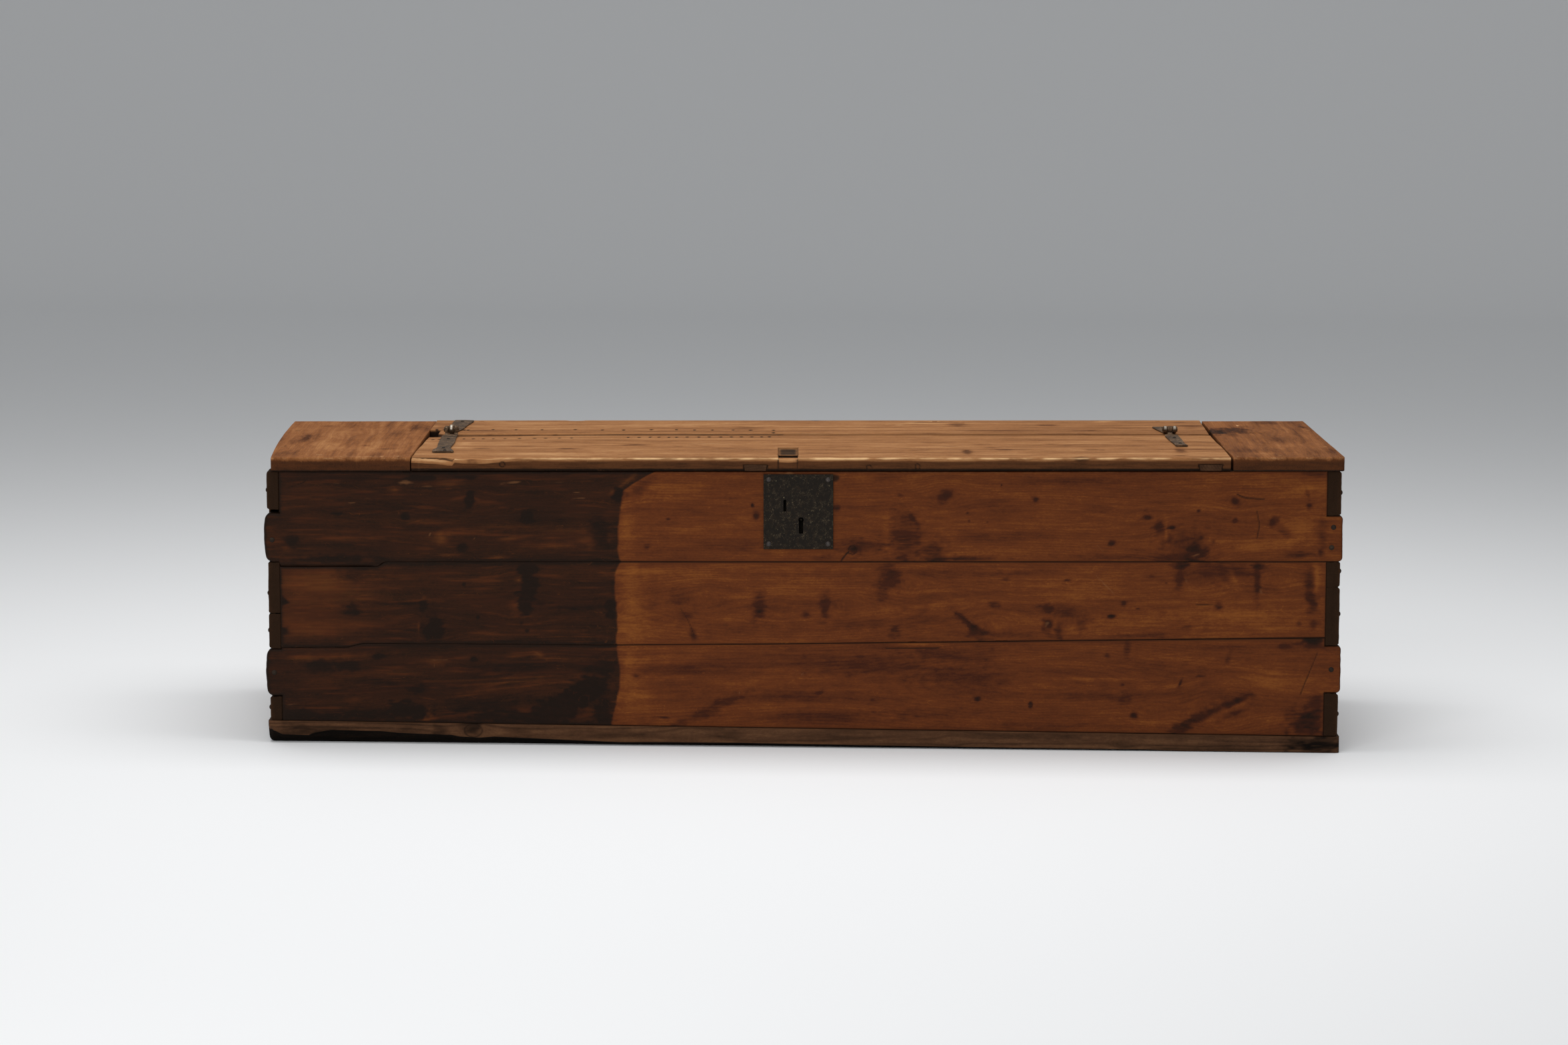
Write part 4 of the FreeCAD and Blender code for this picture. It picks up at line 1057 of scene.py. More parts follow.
    @staticmethod
    def _backs(rims: list[Array], a: Array) -> list[list[int]]:
        """The flat polygons of the hidden side.

        Formula: one polygon, or for a board with a hole the halves to the right and left
        of the hole's middle, with a quad above and below the hole that joins them.

        Args:
            rims: the last ring of the outline, and of the hole if there is one.
            a: places along the grain.

        Returns:
            Corner numbers of each polygon.
        """
        if len(rims) == 1:
            return [rims[0][::-1].tolist()]
        halves, steps = [], []
        for ring in rims:
            side = a[ring] > a[rims[1]].mean()
            after = np.roll(side, -1)
            turns = [np.flatnonzero(turn)[0] for turn in (after & ~side, side & ~after)]
            halves.append([np.roll(ring, -start - 1)[:(end - start) % len(ring)]
                           for start, end in zip(turns, turns[::-1])])
            steps.append([np.roll(ring, -start)[:2] for start in turns])
        pairs = [*zip(*halves), *zip(steps[0], steps[1][::-1])]
        return [np.concatenate(pair)[::-1].tolist() for pair in pairs]


# ---- walls

BOUNDARY: tuple[Corner, ...] = (  # height, place of the dirt's edge
    (26, -343), (40, -339), (73, -331), (109, -323), (144, -322), (186, -328), (221, -326),
    (263, -329), (297, -331), (316, -327), (331, -321), (353, -325), (391, -323),
    (429, -320), (454, -317), (468, -298), (484, -270), (498, -240))


def left_grime(a: Array, b: Array, depth: Array) -> Array:
    """Dark dirt on the left third of the front, with a sharp wavy edge.

    Formula: a step across the boundary line, whose place is read off by height, less a
    broad noise that lets the wood through.

    Args:
        a: places along the grain.
        b: places across the grain.
        depth: not used.

    Returns:
        The dirt, from 0 to 1.
    """
    heights, places = np.array(BOUNDARY).T
    line = np.interp(b, heights, places) + 2.2 * layered_noise(901, b / 14, a / 60)
    inside = smooth_step(line - a, -2.2, 3.0)
    rim = np.exp(-((line - a) / 9.0) ** 2)
    patches = layered_noise(902, a / 95, b / 17)
    redder = smooth_step(-a, 700.0, 860.0) * smooth_step(b, 190.0, 215.0)
    redder = redder * (1 - smooth_step(b, 315.0, 332.0))
    return inside * np.clip(0.84 + 0.10 * patches + 0.10 * rim - 0.20 * redder, 0, 0.97)


SEAM_SHIFT: tuple[Corner, ...] = (  # place, how far the lower seam leaves its slope
    (-942, 0.0), (-800, -0.2), (-774, 5.8), (-700, 4.6), (-591, 3.4), (-358, -1.3), (-36, -2.0),
    (400, -1.0), (942, 0.0))


@dataclass
class Walls:
    """The front and rear walls, each of three planks with fingers at its ends."""

    front: float = -274.0
    rear: float = 274.0
    thick: float = 24.0
    reach: float = 942.0
    left_inside: float = -917.0
    right_inside: float = 913.0
    top: float = 490.0
    seam: float = 330.0
    low_seam: Corner = (178.0, 196.0)
    base: Corner = (48.9, 19.5)
    flat_seam: float = 187.0
    flat_base: float = 34.0
    finger_tops: Corner = (416.0, 411.0)
    low_finger: Corner = (94.5, 178.5)
    finger_arris: float = 4.5
    finger_lines: tuple[Corner, Corner] = ((92.0, 97.0), (176.0, 181.0))
    finger_round: Corner = (11.0, 7.0)
    swell: float = 3.4
    lap: float = 8.5
    mortise: tuple[Corner, ...] = (
        (-59.0, 376.65), (-59.0, 460.65), (39.0, 460.65), (39.0, 376.65))

    def top_outline(self) -> tuple[Corner, ...]:
        """Outline of a top plank.

        Returns:
            The corners, anticlockwise.
        """
        left, right, reach = self.left_inside, self.right_inside, self.reach
        high_left, high_right = self.finger_tops
        return ((-reach, self.seam), (reach, self.seam), (reach, high_right),
                (right, high_right), (right, self.top), (left, self.top),
                (left, high_left), (-reach, high_left))

    def middle_outline(self) -> tuple[Corner, ...]:
        """Outline of a middle plank before its lower edge slopes."""
        return box(self.left_inside, self.flat_seam, self.right_inside, self.seam)

    def bottom_outline(self) -> tuple[Corner, ...]:
        """Outline of a bottom plank before its edges slope.

        Returns:
            The corners, anticlockwise.
        """
        left, right, reach = self.left_inside, self.right_inside, self.reach
        (low, high), seam, base = self.low_finger, self.flat_seam, self.flat_base
        return ((left, base), (right, base), (right, low), (reach, low), (reach, high),
                (right, high), (right, seam), (left, seam), (left, high), (-reach, high),
                (-reach, low), (left, low))

    def finger_pull(self, a: Array, b: Array, low: Array, high: Array) -> Array:
        """How far a finger's end recedes at its upper and lower corner.

        Formula: r - sqrt(r^2 - (r - d)^2) for the distance d to the nearer corner, with
        a larger r at the left, plus a slow waver, less half a sine where the left ends
        swell.

        Args:
            a: places along the grain.
            b: places across the grain.
            low: height of the finger's lower corner.
            high: height of its upper corner.

        Returns:
            The pull along the length.
        """
        radius = np.where(a < 0, *self.finger_round)
        gap = np.clip(radius - np.minimum(b - low, high - b), 0, radius)
        pull = radius - np.sqrt(radius ** 2 - gap ** 2)
        pull = pull + 0.9 * (1 + layered_noise(907, b / 17, np.sign(a) * 9.0))
        share = np.clip((b - low) / (high - low), 0, 1)
        pull = pull - self.swell * (a < 0) * np.sin(np.pi * share)
        return -np.sign(a) * pull * smooth_step(abs(a), self.right_inside, self.reach)

    def seam_drop(self, a: Array) -> Array:
        """How much lower the upper seam runs along its left stretch."""
        left = smooth_step(a, self.left_inside - 2.0, self.left_inside + 2.0)
        return self.lap * left * (1 - smooth_step(a, -748.0, -730.0))

    def low_line(self, a: Array) -> Array:
        """Height of the lower seam: a straight slope plus small shifts."""
        places, shifts = np.array(SEAM_SHIFT).T
        return CASE.along(a, *self.low_seam) + np.interp(a, places, shifts)

    def top_warp(self, a: Array, b: Array, depth: Array) -> Pair:
        """Round the ends of a top plank's fingers, and step its lower edge."""
        near = np.clip(1 - (b - self.seam) / 15.0, 0, 1)
        return (a + self.finger_pull(a, b, self.seam, np.where(a < 0, *self.finger_tops)),
                b - near * self.seam_drop(a))

    def middle_warp(self, a: Array, b: Array, depth: Array) -> Pair:
        """Lay a middle plank's lower edge on the sloping seam.

        Formula: heights between the two seams are stretched in proportion.

        Args:
            a: places along the grain.
            b: places across the grain.
            depth: not used.

        Returns:
            The moved a and b.
        """
        share = (b - self.flat_seam) / (self.seam - self.flat_seam)
        low = self.low_line(a)
        return a, low + (self.seam - self.seam_drop(a) - low) * share

    def bottom_warp(self, a: Array, b: Array, depth: Array) -> Pair:
        """Lay a bottom plank's edges and fingers on their sloping lines.

        Formula: heights are read between four lines, each straight along the length.

        Args:
            a: places along the grain.
            b: places across the grain.
            depth: not used.

        Returns:
            The moved a and b.
        """
        flat = (self.flat_base, *self.low_finger, self.flat_seam)
        lines = [CASE.along(a, *ends) for ends in (self.base, *self.finger_lines)]
        lines.append(self.low_line(a))
        height = lines[0]
        for low, high, first, second in zip(flat, flat[1:], lines, lines[1:]):
            height = height + (second - first) * np.clip((b - low) / (high - low), 0, 1)
        return a + self.finger_pull(a, b, *self.low_finger), height

    def build(self) -> None:
        """Build all six planks."""
        ends = self.finger_arris
        finger = (1.1, ends, 2.4, 0.8, 1.6, 0.8, 3.6, 1.5 * ends)
        low_finger = (1.0, 0.7, 2.4, ends, 2.4, 0.7, 1.1, 0.7, 3.0, 1.5 * ends, 3.0, 0.7)
        shapes = (
            ("top", self.top_outline(), finger, self.top_warp),
            ("middle", self.middle_outline(), (1.2, 0.8, 1.1, 0.8), self.middle_warp),
            ("bottom", self.bottom_outline(), low_finger, self.bottom_warp),
        )
        for name, outline, arris, warp in shapes:
            hole = self.mortise if name == "top" else ()
            front, rear = (Piece(f"{side}_wall_{name}", f"{side}_plank_{name}", "case",
                                 "wall_planks") for side in ("front", "rear"))
            Board(front, Face.FRONT, self.front, self.thick, outline, FRONT_FIGURES[name],
                  FINISHES.wall, arris, FRONT_WEAR[name], (2.05, 2.05), hole=hole,
                  warp=warp).build()
            Board(rear, Face.REAR, self.rear, self.thick, outline, REAR_FIGURES[name],
                  FINISHES.side, arris, (), (4.0, 3.2), warp=warp).build()


def front_figure(seed: int, pith: Corner, lift: float, **rows: Rows) -> Figure:
    """What a front plank shows: its own marks, and black dirt in the seams and at the left."""
    return Figure(seed, pith, contrast=0.5, lift=lift, edge_dirt=1.0, edge_reach=2.0,
                  dirt=left_grime, **rows)


# Knots: place along, place across, radius. Stains, glows, chips and pits: place along, place
# across, half length, half height, strength in percent and, where turned, degrees. Cracks and
# scratches: width and strength, then their points.
FRONT_TOP = front_figure(
    110, (410.0, 40.0), -0.08,
    knots=(
        (-584, 437, 9), (-697, 410, 6), (-485, 409, 9), (-323, 450, 10), (-84, 411, 7),
        (246, 446, 12), (600, 408, 7), (751, 437, 7), (820, 403, 7), (99, 353, 9), (671, 360, 20)),
    stains=(
        (-584, 437, 8.1, 12.7, 75), (-697, 410, 6.9, 5.2, 100), (-485, 409, 10.4, 10.4, 100),
        (-812, 415, 9.2, 2.3, 60), (-323, 450, 10.4, 10.4, 95), (-895, 366, 13.8, 10.4, 50),
        (-598, 356, 9.2, 5.8, 50), (-668, 477, 30, 4.6, 55), (-588, 479, 18.4, 3.5, 45),
        (-823, 336, 69.1, 6.9, 45), (-357, 380, 18.4, 25.3, 35), (-287, 459, 25.3, 9.2, 42, 38),
        (-90, 430, 3.5, 4, 85), (-84, 411, 5.8, 6.9, 70), (-237, 405, 4.6, 2.5, 70),
        (-275, 357, 5.8, 4.6, 50), (57, 424, 6.9, 5.2, 65), (246, 446, 17.3, 10.4, 62, 28),
        (168, 447, 4.6, 2.3, 45), (285, 416, 2.5, 2.3, 70), (288, 402, 2.3, 1.8, 70),
        (320, 400, 2.3, 1.8, 70), (99, 357, 41.5, 11.5, 50), (86, 352, 8.6, 9.2, 50),
        (175, 373, 25.3, 39.2, 50), (192, 404, 12.7, 4.6, 60, -50), (225, 349, 23, 16.1, 55),
        (272, 336, 73.7, 3.5, 50), (404, 440, 5.8, 5.8, 60), (344, 465, 2.1, 2.1, 80),
        (600, 408, 10.4, 5.8, 70), (621, 393, 9.2, 12.7, 60), (642, 390, 6.9, 3.5, 80),
        (751, 437, 6.9, 8.1, 70, 40), (688, 420, 3.5, 2.9, 70), (752, 403, 4, 4.6, 75),
        (820, 403, 6.9, 8.1, 75), (837, 384, 17.3, 8.1, 40, -35), (881, 428, 5.8, 4.6, 70),
        (878, 450, 3.5, 9.2, 50, 20), (537, 362, 6.3, 5.2, 85), (671, 360, 38, 25.3, 48),
        (684, 346, 19.6, 16.1, 60), (647, 336, 34.6, 4.6, 40), (865, 342, 30, 5.8, 50),
        (574, 338, 103.7, 4.6, 30), (892, 484, 18.4, 5.8, 40), (143, 479, 27.6, 5.8, 30),
        (39, 336, 34.6, 3.5, 25), (457, 472, 69.1, 6.9, 22), (388, 380, 46.1, 6.9, 22),
        (518, 424, 32.3, 9.2, 20), (-194, 427, 30, 10.4, 14), (341, 427, 41.5, 13.8, 14),
        (295, 373, 46.1, 8.1, 18), (905, 380, 9.2, 34.6, 35), (-124, 350, 41.5, 5.8, 20)),
    glows=(
        (-516, 370, 20.7, 2.5, 55), (-436, 359, 36.9, 5.2, 50), (-633, 370, 11.5, 10.4, 60),
        (-379, 366, 20.7, 6.9, 50), (-534, 338, 13.8, 3.5, 60), (-623, 342, 16.1, 2.3, 45),
        (-792, 370, 48.4, 4.6, 30), (-799, 384, 39.2, 3.5, 25), (-866, 338, 20.7, 4.6, 30),
        (-905, 352, 10.4, 6.9, 30), (-621, 467, 27.6, 4, 50), (-713, 457, 9.2, 3.5, 60),
        (-751, 472, 23, 3.5, 25), (-520, 392, 69.1, 3.5, 30), (-590, 380, 57.6, 3.5, 35),
        (-415, 385, 50.7, 3.5, 28), (-659, 402, 69.1, 3.5, 22), (-310, 392, 13.8, 50.7, 42),
        (-309, 472, 23, 3.5, 50, 38), (-229, 451, 46.1, 11.5, 25), (-171, 380, 80.6, 16.1, 22),
        (50, 457, 69.1, 9.2, 12), (881, 460, 30, 5.8, 60, 5), (865, 386, 34.6, 25.3, 40),
        (794, 474, 69.1, 6.9, 25), (632, 380, 2.9, 20.7, 50), (795, 357, 69.1, 9.2, 35),
        (504, 392, 69.1, 11.5, 15), (248, 380, 16.1, 34.6, 18, 20), (144, 380, 5.8, 25.3, 20),
        (701, 427, 57.6, 16.1, 22)),
    chips=(
        (-696, 470, 15, 3.5, 50), (-508, 470, 17.3, 2.5, 45, 6), (-428, 470, 11.5, 1.8, 30),
        (-396, 452, 9.2, 1.6, 45), (-392, 442, 10.4, 1.6, 40), (-788, 434, 8.1, 1.3, 40),
        (-762, 442, 9.2, 1.3, 30, -6), (-813, 468, 8.1, 1.3, 25), (-616, 472, 23, 1.7, 35),
        (-658, 463, 8.1, 1.8, 35), (-382, 418, 43.8, 1.2, 35), (-426, 413, 27.6, 1, 30),
        (-30, 485, 9.2, 2.3, 70), (-25, 487, 5.8, 1.7, 50), (685, 342, 9.2, 2.3, 45, 20),
        (-576, 371, 3, 1.4, 50, 45), (-654, 378, 1.6, 3.5, 50, -20)),
    pits=(
        (54, 477, 8.5, 7.5, 85), (-90, 430, 3.2, 3, 80), (-84, 411, 4.5, 4.2, 60),
        (-697, 410, 5, 4, 80), (-485, 409, 6, 5, 80), (600, 408, 6, 3.6, 60), (671, 352, 6, 5, 70),
        (537, 362, 6, 3.4, 70), (642, 390, 6, 2.4, 70)),
    cracks=(
        ((1.5, 0.9), (756, 448.4), (764, 444.2), (780, 441.2), (802, 440.2)),
        ((1.3, 0.8), (790, 419.1), (795, 395), (791, 370.9)),
        ((1.1, 0.5), (-780, 415), (-640, 417), (-560, 411), (-470, 417)),
        ((1, 0.4), (-540, 420), (-470, 413), (-380, 419), (-300, 415)),
        ((1.8, 0.95), (-903, 459), (-891, 463.5), (-880, 467), (-870, 472)),
        ((1.9, 0.95), (-915, 322.8), (-760, 322.6), (-737, 327)),
        ((1.3, 0.9), (77, 351), (80, 357), (87, 358), (92, 353), (91, 346), (85, 343), (78, 345),
         (77, 351)),
        # The last line, along the plank's top edge below the lid, is painted shadow of the lid's
        # overhang.
        ((2, 0.95), (76, 346), (69, 338), (65, 332)), ((1.3, 1), (-700, 489.8), (744, 489.8))),
    scratches=(
        ((1.2, 0.5), (511, 360), (523, 348)),
        ((1.1, 0.42), (-240, 487.2), (120, 487.6), (742, 487.2))))
FRONT_MIDDLE = front_figure(
    130, (250.0, 42.0), -0.08,
    knots=(
        (-502, 300, 10), (-496, 255, 14), (-322, 247, 8), (-648, 211, 12), (-180, 262, 10),
        (-44, 252, 8), (71, 252, 8), (183, 290, 12), (330, 215, 14), (457, 224, 12),
        (697, 300, 12), (827, 300, 10)),
    stains=(
        (-790, 308, 23, 13.8, 30), (-794, 244, 15, 9.2, 40), (-666, 253, 5.8, 8.1, 90),
        (-595, 290, 3.5, 2.8, 60), (-571, 232, 2.3, 2.1, 60), (-485, 208, 3.5, 2.8, 60),
        (-648, 211, 15, 18.4, 95), (-489, 316, 13.8, 11.5, 80), (-481, 286, 13.8, 27.6, 90, -12),
        (-491, 253, 13.8, 17.3, 85, -12), (-338, 253, 10.4, 8.1, 95), (-338, 237, 9.2, 6.9, 90),
        (-912, 260, 8.1, 5.8, 60), (-911, 208, 10.4, 9.2, 60), (-474, 257, 27.6, 4.6, 30),
        (-393, 248, 46.1, 3.5, 30), (-708, 257, 57.6, 3.5, 25), (-216, 264, 18.4, 10.4, 28),
        (-194, 200, 6.9, 11.5, 50), (-208, 233, 9.2, 16.1, 30, -60), (-79, 254, 10.4, 21.9, 55),
        (-75, 237, 12.7, 9.2, 50), (-49, 247, 69.1, 6.9, 22), (37, 254, 9.2, 25.3, 50),
        (3, 239, 8.1, 6.9, 50), (151, 299, 17.3, 18.4, 55), (137, 276, 12.7, 15, 35),
        (144, 319, 13.8, 9.2, 35), (159, 208, 10.4, 12.7, 50), (277, 231, 17.3, 5.8, 60, -38),
        (298, 213, 16.1, 9.2, 60, -35), (307, 206, 20.7, 10.4, 40), (332, 254, 9.2, 6.9, 50),
        (353, 299, 6.9, 2.9, 40), (425, 247, 13.8, 6.9, 50), (428, 219, 9.2, 15, 65),
        (446, 208, 8.1, 13.8, 45), (461, 238, 34.6, 8.1, 45, -8), (486, 218, 10.4, 10.4, 40),
        (537, 233, 6.9, 4.6, 95), (559, 257, 4.6, 5.8, 50, -30), (584, 247, 3.5, 1.6, 60),
        (460, 297, 6.9, 2.8, 55), (633, 292, 2.3, 1.6, 70), (608, 305, 4.6, 3.9, 35),
        (726, 251, 6.9, 8.1, 60), (733, 314, 50.7, 16.1, 40), (867, 221, 5.2, 4, 60),
        (892, 221, 6.9, 9.2, 40), (884, 293, 10.4, 30, 50), (891, 254, 10.4, 15, 60),
        (599, 200, 41.5, 4, 40), (672, 215, 15, 2.3, 40), (412, 312, 57.6, 9.2, 20),
        (272, 312, 57.6, 6.9, 14), (785, 280, 41.5, 13.8, 22), (-136, 215, 69.1, 11.5, 18),
        (97, 221, 46.1, 10.4, 20), (27, 308, 57.6, 6.9, 16), (342, 201, 69.1, 5.8, 30),
        (202, 233, 25.3, 16.1, 20), (540, 257, 46.1, 9.2, 20), (659, 324, 14, 6, 70),
        (656, 300, 8, 22, 50, -8), (794, 322, 11, 7, 70), (793, 296, 6, 24, 50)),
    glows=(
        (-835, 291, 80.6, 25.3, 30), (-847, 208, 71.4, 11.5, 35), (-755, 221, 46.1, 9.2, 18),
        (-498, 298, 5.8, 4.6, 60), (-502, 251, 10.4, 12.7, 55, 20), (-675, 212, 1.8, 9.2, 50),
        (-665, 266, 4.6, 3.5, 40), (-451, 233, 46.1, 3.5, 20), (-591, 267, 69.1, 3.5, 15),
        (-302, 263, 20.7, 80.6, 55), (-258, 310, 69.1, 9.2, 35), (-148, 271, 69.1, 4.6, 25),
        (-194, 298, 57.6, 11.5, 20), (-8, 286, 69.1, 5.8, 14), (225, 277, 69.1, 5.8, 25),
        (260, 263, 57.6, 4.6, 20), (366, 221, 69.1, 11.5, 25), (576, 221, 103.7, 16.1, 30),
        (482, 274, 69.1, 11.5, 25), (749, 307, 5.8, 19.6, 55, 25), (786, 220, 103.7, 16.1, 35),
        (575, 298, 80.6, 13.8, 18), (896, 298, 4.6, 30, 60), (160, 202, 5.8, 4.6, 50),
        (506, 206, 57.6, 4.6, 22), (756, 233, 69.1, 6.9, 30)),
    chips=(
        (668, 296, 3.5, 8.1, 35, 20), (799, 277, 3.5, 8.1, 35, 20), (425, 219, 3.5, 6.9, 40, -30),
        (291, 225, 2.8, 5.8, 35, 40), (434, 258, 5.8, 1.2, 35, 35), (-502, 256, 4.6, 8.1, 30, 30),
        (526, 289, 19.6, 1, 45, -45)),
    cracks=(
        ((1.1, 0.8), (686, 254.4), (722, 252.6)),
        ((1.2, 0.7), (-216, 247.3), (-203, 226.1), (-192, 197.7)),
        ((1.2, 0.8), (264, 240.2), (289, 222.5), (314, 201.2))),
    scratches=(((1.3, 0.5), (511, 305.1), (543, 272.7)),))
FRONT_BOTTOM = front_figure(
    150, (112.0, 44.0), -0.17,
    knots=(
        (-708, 68, 14), (-435, 66, 26), (-578, 158, 6), (336, 90, 5), (606, 66, 7), (730, 66, 22)),
    stains=(
        (-852, 147, 23, 11.5, 40), (-799, 147, 20.7, 9.2, 45), (-745, 163, 12.7, 5.2, 50),
        (-579, 158, 5.8, 4.6, 70), (-676, 104, 16.1, 6.9, 45), (-708, 68, 17.3, 11.5, 95),
        (-684, 64, 20.7, 12.7, 70), (-435, 66, 59.9, 23, 95, 28), (-377, 104, 34.6, 20.7, 80, 20),
        (-353, 61, 16.1, 25.3, 60), (-886, 55, 50.7, 10.4, 50), (-780, 59, 69.1, 9.2, 35),
        (-569, 76, 69.1, 13.8, 25), (-523, 55, 69.1, 9.2, 40), (-756, 118, 46.1, 6.9, 25),
        (-352, 182, 16.1, 3.5, 50), (-522, 142, 69.1, 9.2, 20), (-352, 144, 25.3, 16.1, 30),
        (-295, 128, 6.9, 3.5, 50), (-249, 54, 12.7, 1.8, 80, -5), (-177, 62, 53, 8.6, 45, 24),
        (-136, 83, 27.6, 5.8, 30, 15), (-171, 55, 5.8, 2.3, 50), (27, 97, 5.8, 3.5, 50),
        (120, 85, 5.8, 2.8, 35), (304, 86, 5.2, 3.9, 90), (531, 164, 5.2, 5.2, 60),
        (398, 77, 3.5, 5.8, 85), (559, 112, 3.5, 2.3, 50), (579, 58, 7.5, 6.9, 65),
        (560, 83, 11.5, 8.1, 30), (660, 115, 2.9, 9.2, 60, -20), (744, 159, 5.8, 8.1, 40, -20),
        (695, 128, 8.1, 2.8, 50), (892, 188, 17.3, 10.4, 85), (843, 180, 11.5, 5.8, 50),
        (566, 176, 5.8, 16.1, 40), (704, 59, 50.7, 8.1, 60, 27), (760, 83, 27.6, 5.8, 60, 24),
        (753, 59, 25.3, 4.6, 50, 24), (669, 38, 20.7, 9.2, 60, 27), (884, 45, 30, 23, 85),
        (899, 73, 13.8, 25.3, 50), (-171, 138, 92.2, 13.8, 18), (109, 144, 103.7, 18.4, 30),
        (284, 121, 80.6, 23, 25), (273, 163, 69.1, 11.5, 30), (27, 55, 103.7, 10.4, 28),
        (414, 38, 69.1, 6.9, 25), (507, 91, 69.1, 8.1, 22), (-31, 97, 57.6, 16.1, 20),
        (203, 61, 69.1, 9.2, 20), (612, 144, 46.1, 6.9, 18)),
    glows=(
        (-865, 159, 57.6, 5.8, 50), (-795, 163, 57.6, 4.6, 35), (-646, 152, 20.7, 8.1, 50),
        (-467, 167, 10.4, 4, 60, -20), (-445, 159, 27.6, 2.3, 50), (-511, 162, 13.8, 1.8, 50),
        (-510, 124, 92.2, 1.8, 50, 3), (-522, 116, 80.6, 1.8, 50, 4),
        (-505, 108, 80.6, 1.6, 40, 6), (-593, 93, 46.1, 2.3, 30, 8), (-662, 54, 10.4, 10.4, 60),
        (-789, 86, 18.4, 6.9, 35), (-850, 109, 34.6, 6.9, 20), (-721, 133, 57.6, 4.6, 22),
        (-373, 156, 46.1, 2.3, 35), (-306, 144, 20.7, 46.1, 50), (-288, 85, 30, 30, 30),
        (-230, 162, 57.6, 9.2, 20), (-90, 116, 69.1, 3.5, 30), (187, 185, 41.5, 3, 60),
        (497, 122, 76, 3.5, 40), (816, 118, 50.7, 20.7, 30), (693, 162, 92.2, 8.1, 25),
        (413, 109, 69.1, 4.6, 20), (753, 71, 34.6, 3.5, 30, 24), (906, 32, 16.1, 3.5, 50, 20),
        (601, 44, 57.6, 9.2, 15), (647, 85, 46.1, 9.2, 15)),
    chips=(
        (-114, 97, 1.2, 6.9, 50, -15), (-3, 131, 1.2, 5.8, 50, -40), (-902, 77, 11.5, 1.4, 35, 5),
        (-466, 168, 6.9, 1.8, 45, -20), (-643, 156, 16.1, 1.4, 35), (-648, 147, 1.4, 5.8, 35),
        (-472, 165, 16.1, 1.2, 30, -12), (-634, 149, 11.5, 1.2, 30), (-43, 161, 46.1, 0.9, 20)),
    cracks=(
        ((1.2, 0.8), (900, 169.2), (871, 95.1)), ((1.5, 0.9), (144, 176.6), (236, 177.4)),
        ((1.4, 0.95), (-915, 177.4), (-798, 178))),
    scratches=(((1.1, 0.4), (-20, 140), (2, 128)),))
FRONT_FIGURES = {"top": FRONT_TOP, "middle": FRONT_MIDDLE, "bottom": FRONT_BOTTOM}
FRONT_WEAR = {
    "top": (Wear(4, -30, 10, 3.0, 2.0), Wear(4, 300, 40, 0.9), Wear(0, -835, 90, 2.2, 3.0)),
    "middle": (Wear(2, -835, 92, 2.0, 3.0), Wear(0, 190, 7, 3.0, 2.0),
               Wear(0, 340, 5, 2.2, 2.0), Wear(0, 352, 4, 2.0, 2.0)),
    "bottom": (Wear(6, -850, 60, 2.2, 3.0), Wear(6, 220, 40, 1.0, 3.0)),
}
REAR_FIGURES = {
    name: Figure(seed=seed, pith=(middle, 40.0), contrast=0.6, knots=knots, stains=stains,
                 edge_dirt=0.4)
    for name, seed, middle, knots, stains in (
        ("top", 210, 420.0, ((-500, 400, 12), (120, 430, 10), (620, 390, 14)),
         ((-500, 400, 13, 12, 80), (120, 430, 10, 10, 70), (620, 390, 14, 14, 70),
          (0, 340, 300, 14, 35), (-700, 460, 120, 16, 30))),
        ("middle", 230, 250.0, ((-260, 250, 12), (420, 270, 12)),
         ((-260, 250, 13, 13, 80), (420, 270, 13, 11, 75), (700, 230, 90, 24, 30))),
        ("bottom", 250, 110.0, ((-640, 120, 12), (230, 90, 14)),
         ((-640, 120, 13, 11, 80), (230, 90, 15, 13, 80), (0, 50, 900, 12, 50),
          (600, 130, 130, 20, 25))))
}


